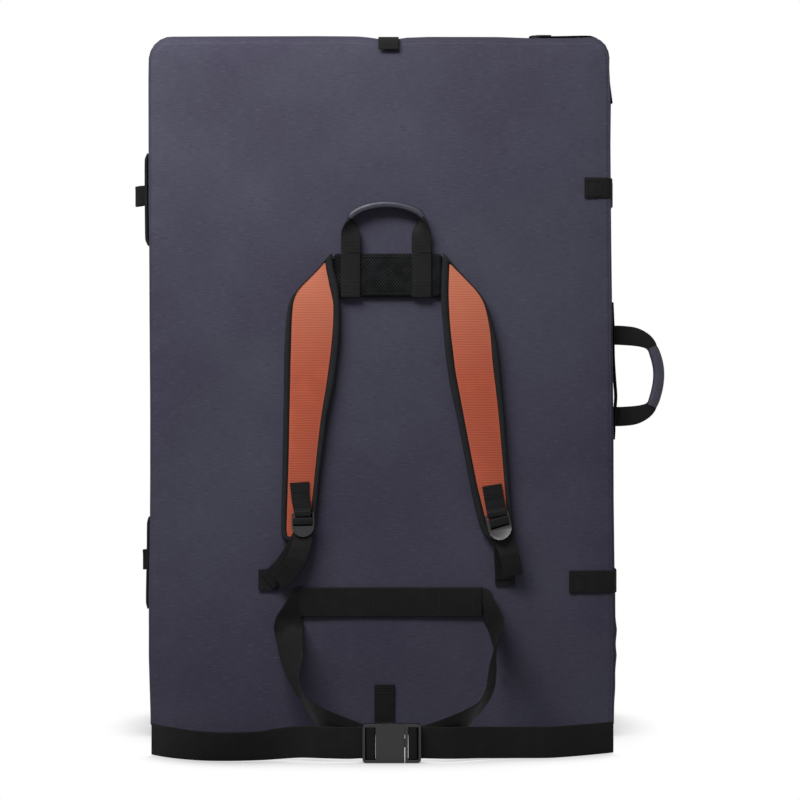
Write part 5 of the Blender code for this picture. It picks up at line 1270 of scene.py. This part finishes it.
def strap_binding(context, name, binding_rows, face_rows, count=150):
    """Tape folded over a strap's edge: a rounded section carried round the loop between the two outlines, as wide as
    the gap between them and as deep as the strap."""
    outer, inner = (strap_loop(strap_edges(rows, count), 12, 4) for rows in (binding_rows, face_rows))
    gap, centre = outer - inner, (outer + inner) / 2
    rows = np.zeros((len(centre), 8))
    rows[:, [0, 2]], rows[:, 1] = centre, SEAT_Y - STRAP_THICKNESS / 2 - 0.0002
    rows[:, [3, 5]] = unit(gap)
    rows[:, 6] = np.maximum(np.linalg.norm(gap, axis=1), 0.0012) + 0.0006
    rows[:, 7] = STRAP_THICKNESS + 0.0004
    profile = superellipse(3.2, 20)
    deep = np.array([0.0, 1.0, 0.0])
    across = rows[:, None, 3:6] * profile[None, :, :1] * rows[:, None, 6:7] / 2
    points = rows[:, None, :3] + across + deep * profile[None, :, 1:] * rows[:, None, 7:8] / 2
    uv = ring_places(np.linspace(0, 0.030, len(profile) + 1), run_along(centre))
    return lay_mesh(name, [Patch(points, uv, wrapped=True, looped=True)], [finish(context, "binding")], 60)


# The tabs that the ladder locks hang on, down a strap's face, forward under the lock's bar and back up
LEFT_TAB = [(-104.0, -58.5, 327.4), (-102.6, -58.5, 305), (-99.6, -58.5, 284.6), (-99.6, -66.0, 284.4)]
LEFT_TAB += [(-99.8, -66.1, 291.0), (-100.1, -61.0, 293.2), (-101.4, -60.3, 306.5)]
RIGHT_TAB = [(140.4, -58.5, 323.8), (143.6, -58.5, 305), (147.3, -58.5, 284.7), (147.3, -66.0, 284.5)]
RIGHT_TAB += [(146.2, -66.1, 291.0), (145.9, -61.0, 293.0), (143.4, -60.3, 306.3)]
# Widths of the left one in metres from its second place on: it is gathered to fit the lock
LEFT_TAB_WIDTHS = (0.0230, 0.0208, 0.0208, 0.0208, 0.0210, 0.0228)


class CRASHPAD_OT_shoulder_straps(bpy.types.Operator):
    """Pads the two shoulder straps, binds their edges and sews the tabs on"""

    bl_idname = "crashpad.shoulder_straps"
    bl_label = "Shoulder straps"

    def execute(self, context):
        for word, binding, face, tab, across in (
            ("left", LEFT_BINDING, LEFT_FACE, LEFT_TAB, (1, 0, 0.03)),
            ("right", RIGHT_BINDING, RIGHT_FACE, RIGHT_TAB, (0.985, 0, 0.174)),
        ):
            body = f"{word}_strap"
            pad = strap_pad(context, f"{word}_strap_pad", face)
            settle(pad, body, "orange_nylon", f"{word}_strap_face", f"{word}_strap_foam")
            tape = strap_binding(context, f"{word}_strap_edging", binding, face)
            settle(tape, body, "black_binding", f"{word}_strap_binding")
            route = route_of(tab, NARROW, WEBBING, across)
            if word == "left":
                route[1:, 6] = LEFT_TAB_WIDTHS
            sewn(context, f"{word}_strap_tab_tape", [rounded(route, THREAD_STEP, 0.0018)], body, f"{word}_strap_tab")
            line, half = np.array(tab[:2]) + (0, -1.0, 0), np.array(across) * 10
            middles = [line[0] + (line[1] - line[0]) * share for share in (0.12, 0.55)]
            stitching(context, f"{word}_tab_stitches", [[at - half, at + half] for at in middles], body)
        return {"FINISHED"}


# How far below the bar that a lock hangs on the middle of its second bar lies
MIDDLE_BAR = 0.0085


def hung(pivot, up, start, lean, lip, wide, tall, aside, drop):
    """Rule that turns a lock in its own plane about the bar it hangs on by the lean in degrees, stretches it wide and
    tall, shifts it aside along that bar, lowers its second bar and all below by the drop, and bends its tongue
    forward from the start down by the lip, a slope. Also the plane in which it bends."""
    pivot, up = Vector(pivot), Vector(up).normalized()
    turn = Matrix.Rotation(math.radians(-lean), 3, "Y")

    def shape(point):
        away = turn @ (point - pivot)
        deep = -(point - pivot).dot(up)
        forward = max(deep - start, 0.0) * lip
        moved = pivot + Vector((away.x * wide + aside, away.y - forward, away.z * tall))
        return moved - (turn @ up) * (drop if deep > MIDDLE_BAR else 0.0)

    return shape, (pivot - up * start, up)


# Adjusting webbing: centre in millimetres and width direction, from the pad up to the lock, through it and down to
# the loose end
LEFT_ADJUSTING = [
    (-145.8, -48.1, 200.5, 0.56, 0, -0.83),
    (-137.0, -50.5, 207.5, 0.62, 0, -0.78),
    (-127.0, -53.2, 217.0, 0.70, 0, -0.71),
    (-115.5, -56.2, 232.5, 0.86, 0, -0.50),
    (-106.0, -57.8, 248.0, 0.96, 0, -0.25),
    (-98.9, -58.5, 262.0, 1, 0, 0.0),
    (-99.4, -58.5, 282.2, 1, 0, 0.03),
    (-99.4, -66.1, 282.2, 1, 0, 0.03),
    (-99.3, -66.1, 274.4, 1, 0, 0.03),
    (-99.3, -60.5, 274.4, 1, 0, 0.03),
    (-99.0, -60.5, 262.0, 1, 0, 0.03),
    (-100.0, -61.8, 254.0, 1, 0, 0.02),
    (-102.4, -64.0, 244.0, 1, 0, -0.03),
    (-107.0, -65.0, 231.0, 0.98, 0, -0.16),
    (-112.5, -63.5, 219.5, 0.93, 0, -0.36),
    (-121.0, -60.5, 209.5, 0.84, 0, -0.54),
    (-131.5, -57.5, 201.5, 0.74, 0, -0.67),
]
RIGHT_ADJUSTING = [
    (158.0, -48.1, 203.0, 1, 0, 0.0),
    (157.4, -50.4, 213.0, 1, 0, 0.02),
    (156.4, -54.0, 228.0, 0.99, 0, 0.10),
    (155.4, -57.6, 245.0, 0.975, 0, 0.20),
    (154.2, -58.5, 262.0, 0.965, 0, 0.26),
    (148.4, -58.5, 282.3, 0.965, 0, 0.26),
    (148.4, -66.1, 282.3, 0.965, 0, 0.26),
    (150.9, -66.1, 273.0, 0.965, 0, 0.26),
    (150.9, -60.5, 273.0, 0.965, 0, 0.26),
    (154.0, -60.5, 262.0, 0.965, 0, 0.26),
    (157.6, -62.4, 250.0, 0.97, 0, 0.24),
    (161.8, -64.8, 236.6, 0.975, 0, 0.20),
    (165.4, -63.6, 222.0, 0.98, 0, 0.16),
    (167.4, -61.0, 209.5, 0.93, 0, 0.30),
]


class CRASHPAD_OT_adjusters(bpy.types.Operator):
    """Hangs the ladder locks on the straps' tabs and threads the adjusting webbing through them"""

    bl_idname = "crashpad.adjusters"
    bl_label = "Ladder locks"

    def execute(self, context):
        pivot, up = (-0.10165, -0.0633, 0.28741), (0, 0, 1)
        left = hung(pivot, up, start=0.0255, lean=-4.0, lip=0.10, wide=0.93, tall=1.0, aside=0.0022, drop=0.0020)
        pivot, up = (0.14678, -0.0633, 0.28742), (-0.174, 0, 0.985)
        right = hung(pivot, up, start=0.0145, lean=5.5, lip=0.52, wide=0.97, tall=1.08, aside=-0.0008, drop=0.0036)
        for word, (shape, seam) in (("left", left), ("right", right)):
            node = f"{word}_ladder_lock"
            lock = softened(context, f"{node}_moulding", node, shape=shape, seam=seam)
            settle(lock, f"{word}_lock", "buckle_plastic", node)
        for word, rows, x, low in (("left", LEFT_ADJUSTING, -0.132, 0.206), ("right", RIGHT_ADJUSTING, 0.157, 0.203)):
            route = rounded(route_of(rows, NARROW), THREAD_STEP, 0.0020)
            strap = stretched(context, f"{word}_adjusting_tape", route, f"{word}_adjusting_webbing")
            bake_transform(strap)
        lines = []
        for word, x, z in (("left", -144.8, 202.0), ("right", 157.8, 208.4)):
            path = [(x, -46.2, z - 13.4), (x, -46.2, z + 13.4)]
            route = laid(context, path, NARROW, (1, 0, 0))
            sewn(context, f"{word}_anchor_patch", [route], "front_half", f"{word}_lower_anchor")
            box = [(x - 9, -47.1, z - 9.5), (x + 9, -47.1, z - 9.5), (x + 9, -47.1, z - 2), (x - 9, -47.1, z - 2)]
            lines.append([*box, box[0]])
        stitching(context, "anchor_stitches", lines, "front_half")
        return {"FINISHED"}


# Waist belt wings: centre in millimetres and width direction, from the face to the buckle
LEFT_WING = [
    (-97.0, -46.4, 173.7, 0.0, 0.0, 1.0),
    (-104.5, -46.6, 173.5, 0.0, 0.0, 1.0),
    (-108.6, -50.6, 167.5, -0.30, -0.20, 0.93),
    (-112.7, -57.0, 158.8, -0.62, -0.46, 0.62),
    (-117.0, -60.0, 147.4, -0.93, -0.20, 0.29),
    (-117.1, -65.0, 135.7, -0.90, 0.265, -0.30),
    (-113.5, -80.0, 116.7, -0.74, 0.36, -0.57),
    (-108.1, -99.0, 101.4, -0.60, 0.36, -0.71),
    (-103.5, -119.0, 87.6, -0.24, 0.46, -0.85),
    (-97.1, -143.0, 73.3, 0.12, 0.53, -0.83),
    (-86.0, -166.0, 60.4, 0.20, 0.61, -0.77),
    (-71.5, -180.0, 50.8, -0.05, 0.60, -0.80),
    (-55.5, -187.5, 41.5, 0.0, 0.35, -0.93),
    (-41.5, -190.6, 34.0, 0.0, 0.15, -0.99),
    (-30.0, -191.6, 28.6, 0.0, 0.03, -1.0),
    (-22.5, -191.9, 25.0, 0.0, 0.0, -1.0),
    (-15.6, -191.9, 23.6, 0.0, 0.0, -1.0),
    (-6.4, -191.9, 23.6, 0.0, 0.0, -1.0),
]
RIGHT_WING = [
    (120.0, -46.4, 173.7, 0.0, 0.0, 1.0),
    (130.5, -47.4, 172.6, 0.06, -0.05, 1.0),
    (138.0, -55.0, 162.0, 0.30, -0.50, 0.81),
    (145.6, -62.5, 147.5, 0.46, -0.67, 0.59),
    (147.4, -74.0, 133.9, 0.30, -0.68, 0.66),
    (144.4, -90.0, 118.5, 0.02, -0.67, 0.74),
    (141.2, -106.0, 103.9, -0.14, -0.64, 0.76),
    (136.0, -128.0, 87.0, -0.18, -0.60, 0.78),
    (127.6, -150.0, 69.4, 0.05, -0.615, 0.78),
    (116.0, -168.0, 56.7, 0.18, -0.66, 0.73),
    (102.5, -179.5, 47.3, 0.0, -0.60, 0.80),
    (88.5, -186.5, 39.5, 0.0, -0.38, 0.92),
    (74.0, -190.2, 32.0, 0.0, -0.18, 0.98),
    (60.0, -191.7, 26.3, 0.0, -0.03, 1.0),
    (52.0, -191.9, 23.9, 0.0, 0.0, 1.0),
    (34.4, -191.9, 23.6, 0.0, 0.0, 1.0),
]
# Each tail: through the buckle's bars, then loose with its own width directions
LEFT_TAIL = [(-6.4, -194.4, 23.6), (-6.4, -201.1, 23.6), (-15.6, -201.1, 23.6), (-15.6, -193.9, 23.6)]
LEFT_TAIL = [(*row, 0, 0, 1) for row in [*LEFT_TAIL, (-24.2, -193.9, 23.6)]]
LEFT_TAIL += [(-40.1, -193.9, 23.0, 0, 0, 1), (-66.3, -192.4, 23.4, 0, 0.02, 1), (-96, -188.5, 23.3, 0, 0, 1)]
LEFT_TAIL += [(-122, -189.0, 21.2, 0, -0.12, 0.99), (-143.5, -192.5, 19.4, 0, -0.27, 0.96)]
LEFT_TAIL += [(-179, -195.9, 18.8, 0, -0.31, 0.95), (-215.4, -190.5, 19.0, 0, -0.24, 0.97)]
LEFT_TAIL += [(-253.5, -173, 19.7, 0, -0.08, 1), (-278.0, -153.5, 19.8, 0, 0, 1)]
RIGHT_TAIL = [(34.4, -194.4, 23.6), (34.4, -201.1, 23.6), (43.6, -201.1, 23.6), (43.6, -193.9, 23.6)]
RIGHT_TAIL += [(52.1, -193.9, 23.6), (83.3, -193.5, 23.0), (119.4, -183, 21.5), (140, -178, 20.5), (165, -174.5, 19.9)]
RIGHT_TAIL += [(198, -173.5, 19.8), (216.5, -169.6, 19.8), (243, -160, 19.8), (267.3, -149.4, 19.8)]
RIGHT_TAIL += [(284.4, -141, 19.8)]
RIGHT_TAIL = [(*row, 0, 0, 1) for row in RIGHT_TAIL]


class CRASHPAD_OT_belt(bpy.types.Operator):
    """Sews the belt's sleeve, swings its two wings to the buckle and lays its tails along the floor"""

    bl_idname = "crashpad.belt"
    bl_label = "Waist belt"

    def execute(self, context):
        path = [(-105.8, -48.0, 173.6), (-60, -47.4, 173.5), (0, -47.2, 173.7), (70, -47.3, 173.6), (112, -48.0, 173.7)]
        path = [(*row, 0, 0, 1) for row in path] + [(127.8, -48.1, 173.7, -0.21, 0, 0.98)]
        sewn(context, "belt_sleeve_tape", [laid(context, path, WIDE)], "front_half", "belt_sleeve")
        lines = []
        for x in (-97, -92, -52, -10, 32, 74, 112, 117):
            deep = -48.9 if abs(x - 13) > 80 else -48.2
            lines.append([(x, deep, 157.5), (x, deep, 189.5)])
        hem = [(-99, -48.9), (-60, -48.3), (0, -48.1), (70, -48.2), (112, -48.9), (118, -48.9)]
        lines += [[(*place, z) for place in hem] for z in (157.0, 190.4)]
        stitching(context, "belt_sleeve_stitches", lines, "front_half")
        sewn(context, "left_belt_wing_tape", [laid(context, LEFT_WING, WIDE)], "belt", "left_belt_wing")
        right = stretched(context, "right_belt_wing_tape", laid(context, RIGHT_WING, WIDE), "right_belt_wing")
        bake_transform(right)
        for word, rows, body in (("left", LEFT_TAIL, "belt"), ("right", RIGHT_TAIL, "belt_plug")):
            near = rounded(route_of(rows[:5], WIDE), THREAD_STEP, 0.0016)
            route = np.vstack([near[:-1], laid(context, rows[4:], WIDE)])
            sewn(context, f"{word}_belt_tail_tape", [route], body, f"{word}_belt_tail")
        return {"FINISHED"}


class CRASHPAD_OT_belt_buckle(bpy.types.Operator):
    """Moulds the belt's side-release buckle: its socket, its plug and the plug's two arms"""

    bl_idname = "crashpad.belt_buckle"
    bl_label = "Belt buckle"

    def execute(self, context):
        for node, body, end in (
            ("belt_buckle_socket", "belt", -1),
            ("belt_buckle_plug", "belt_plug", 1),
            ("belt_buckle_plug_upper_arm", "upper_arm", 0),
            ("belt_buckle_plug_lower_arm", "lower_arm", 0),
        ):
            settle(softened(context, f"{node}_moulding", node, end=end), body, "buckle_plastic", node)
        return {"FINISHED"}


class CRASHPAD_OT_keeper(bpy.types.Operator):
    """Sews the keeper at the bottom of the front face"""

    bl_idname = "crashpad.keeper"
    bl_label = "Keeper"

    def execute(self, context):
        path = [(4, -46.2, 68), (4, -46.3, 55), (4, -46.2, 39.5), (4, -45.4, 23.9), (4, -43.3, 8.3), (4, -42.2, 4.3)]
        route = laid(context, path, KEEPER_WIDTH, (1, 0, 0))
        sewn(context, "lower_keeper_tape", [route], "front_half", "lower_keeper")
        stitching(context, "keeper_stitches", [[(-6, -47.2, z), (14, -47.2, z)] for z in (64.5, 58.0)], "front_half")
        return {"FINISHED"}


# Stage

FLOOR_REACH = 9.0


def by_eye(tree):
    """1 for what the camera sees, straight or in a reflection or through something clear, and 0 for other light."""
    seen = add(tree, "ShaderNodeLightPath", out="Is Camera Ray")
    for word in ("Is Glossy Ray", "Is Transmission Ray"):
        other = add(tree, "ShaderNodeLightPath", out=word)
        seen = add(tree, "ShaderNodeMath", (seen, other), operation="MAXIMUM")
    return seen


class CRASHPAD_OT_stage(bpy.types.Operator):
    """Lays the plain pale floor, sets the soft studio light and places the camera"""

    bl_idname = "crashpad.stage"
    bl_label = "Stage"

    def execute(self, context):
        scene = context.scene
        camera = bpy.data.cameras.new("studio_camera")
        camera.lens = 77.4
        camera.sensor_width = 36.0
        holder = bpy.data.objects.new("studio_camera", camera)
        holder.location = (0.0237, -2.245, 0.432)
        holder.rotation_euler = (math.radians(90), 0, 0)
        scene.collection.objects.link(holder)
        scene.camera = holder
        for name, place, aim, size, power, shade in (
            ("high_front_softbox", (-0.60, -1.0, 1.75), (0.0, 0.0, 0.60), (1.2, 0.6), 38.0, (1.0, 0.99, 0.98)),
            ("back_softbox", (0.5, 2.2, 1.8), (0.0, 0.1, 0.5), (1.6, 1.2), 16.0, (1.0, 1.0, 1.0)),
        ):
            lamp = bpy.data.lights.new(name, "AREA")
            lamp.shape = "RECTANGLE"
            lamp.size, lamp.size_y = size
            lamp.energy = power
            lamp.color = shade
            light = bpy.data.objects.new(name, lamp)
            light.location = place
            towards = Vector(aim) - Vector(place)
            light.rotation_euler = towards.to_track_quat("-Z", "Y").to_euler()
            scene.collection.objects.link(light)
        grid = np.linspace(-FLOOR_REACH, FLOOR_REACH, 13)
        x, y = np.meshgrid(grid, grid)
        points = np.stack([x, y, np.zeros_like(x)], axis=-1)
        floor = lay_mesh("paper_floor", [Patch(points, points[..., :2], outward=(0, 0, 1))], [self.paper(context)])
        self.sky(scene)
        scene.view_settings.view_transform = "Standard"
        return {"FINISHED"}

    def paper(self, context):
        """White background paper: matt to the light, and white to the eye but for the soft shade close round
        whatever stands on it."""
        tint = darker(context.scene.crash_pad_colours.floor, 0.32)
        values = {"Roughness": 0.9, "Specular IOR Level": 0.1, "Base Color": tint}
        made, tree = new_finish("seamless_paper", values)
        near = add(tree, "ShaderNodeAmbientOcclusion", {"Distance": 0.11}, "AO", samples=16)
        shade = add(tree, "ShaderNodeMapRange", (near, 0.35, 0.85, 0.50, 1.0))
        glow = add(tree, "ShaderNodeEmission", {"Color": (1, 1, 1, 1), "Strength": shade})
        lit = tree.nodes["Principled BSDF"].outputs[0]
        both = add(tree, "ShaderNodeMixShader", (by_eye(tree), lit, glow))
        tree.links.new(both, tree.nodes["Material Output"].inputs["Surface"])
        return made

    def sky(self, scene):
        """White to the camera and in reflections, and a weak even light on everything else."""
        world = bpy.data.worlds.new("studio")
        scene.world = world
        world.use_nodes = True
        tree = world.node_tree
        tree.nodes.clear()
        dim = add(tree, "ShaderNodeBackground", {"Color": (0.97, 0.98, 1.0, 1), "Strength": 0.20})
        white = add(tree, "ShaderNodeBackground", {"Color": (1, 1, 1, 1), "Strength": 1.0})
        both = add(tree, "ShaderNodeMixShader", (by_eye(tree), dim, white))
        tree.links.new(both, tree.nodes.new("ShaderNodeOutputWorld").inputs["Surface"])


OPERATORS = (
    CRASHPAD_OT_stage,
    CRASHPAD_OT_covers,
    CRASHPAD_OT_spine,
    CRASHPAD_OT_zip,
    CRASHPAD_OT_closures,
    CRASHPAD_OT_keeper,
    CRASHPAD_OT_yoke,
    CRASHPAD_OT_handles,
    CRASHPAD_OT_shoulder_straps,
    CRASHPAD_OT_adjusters,
    CRASHPAD_OT_belt,
    CRASHPAD_OT_belt_buckle,
)


class CRASHPAD_PT_panel(bpy.types.Panel):
    """Lists the pad's pieces, sizes and colours"""

    bl_label = "Crash pad"
    bl_idname = "CRASHPAD_PT_panel"
    bl_space_type = "VIEW_3D"
    bl_region_type = "UI"
    bl_category = "Crash pad"

    def draw(self, context):
        layout = self.layout
        for operator in OPERATORS:
            layout.operator(operator.bl_idname)
        for group in (context.scene.crash_pad_sizes, context.scene.crash_pad_colours):
            box = layout.box()
            for word in group.__annotations__:
                box.prop(group, word)


CLASSES = (CrashPadColours, CrashPadSizes, *OPERATORS, CRASHPAD_PT_panel)


def register():
    for made in CLASSES:
        bpy.utils.register_class(made)
    bpy.types.Scene.crash_pad_colours = PointerProperty(type=CrashPadColours)
    bpy.types.Scene.crash_pad_sizes = PointerProperty(type=CrashPadSizes)


def unregister():
    del bpy.types.Scene.crash_pad_sizes
    del bpy.types.Scene.crash_pad_colours
    for made in reversed(CLASSES):
        bpy.utils.unregister_class(made)


def main():
    """Registers the add-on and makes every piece."""
    register()
    for operator in OPERATORS:
        group, word = operator.bl_idname.split(".")
        getattr(getattr(bpy.ops, group), word)()


if __name__ == "__main__":
    main()
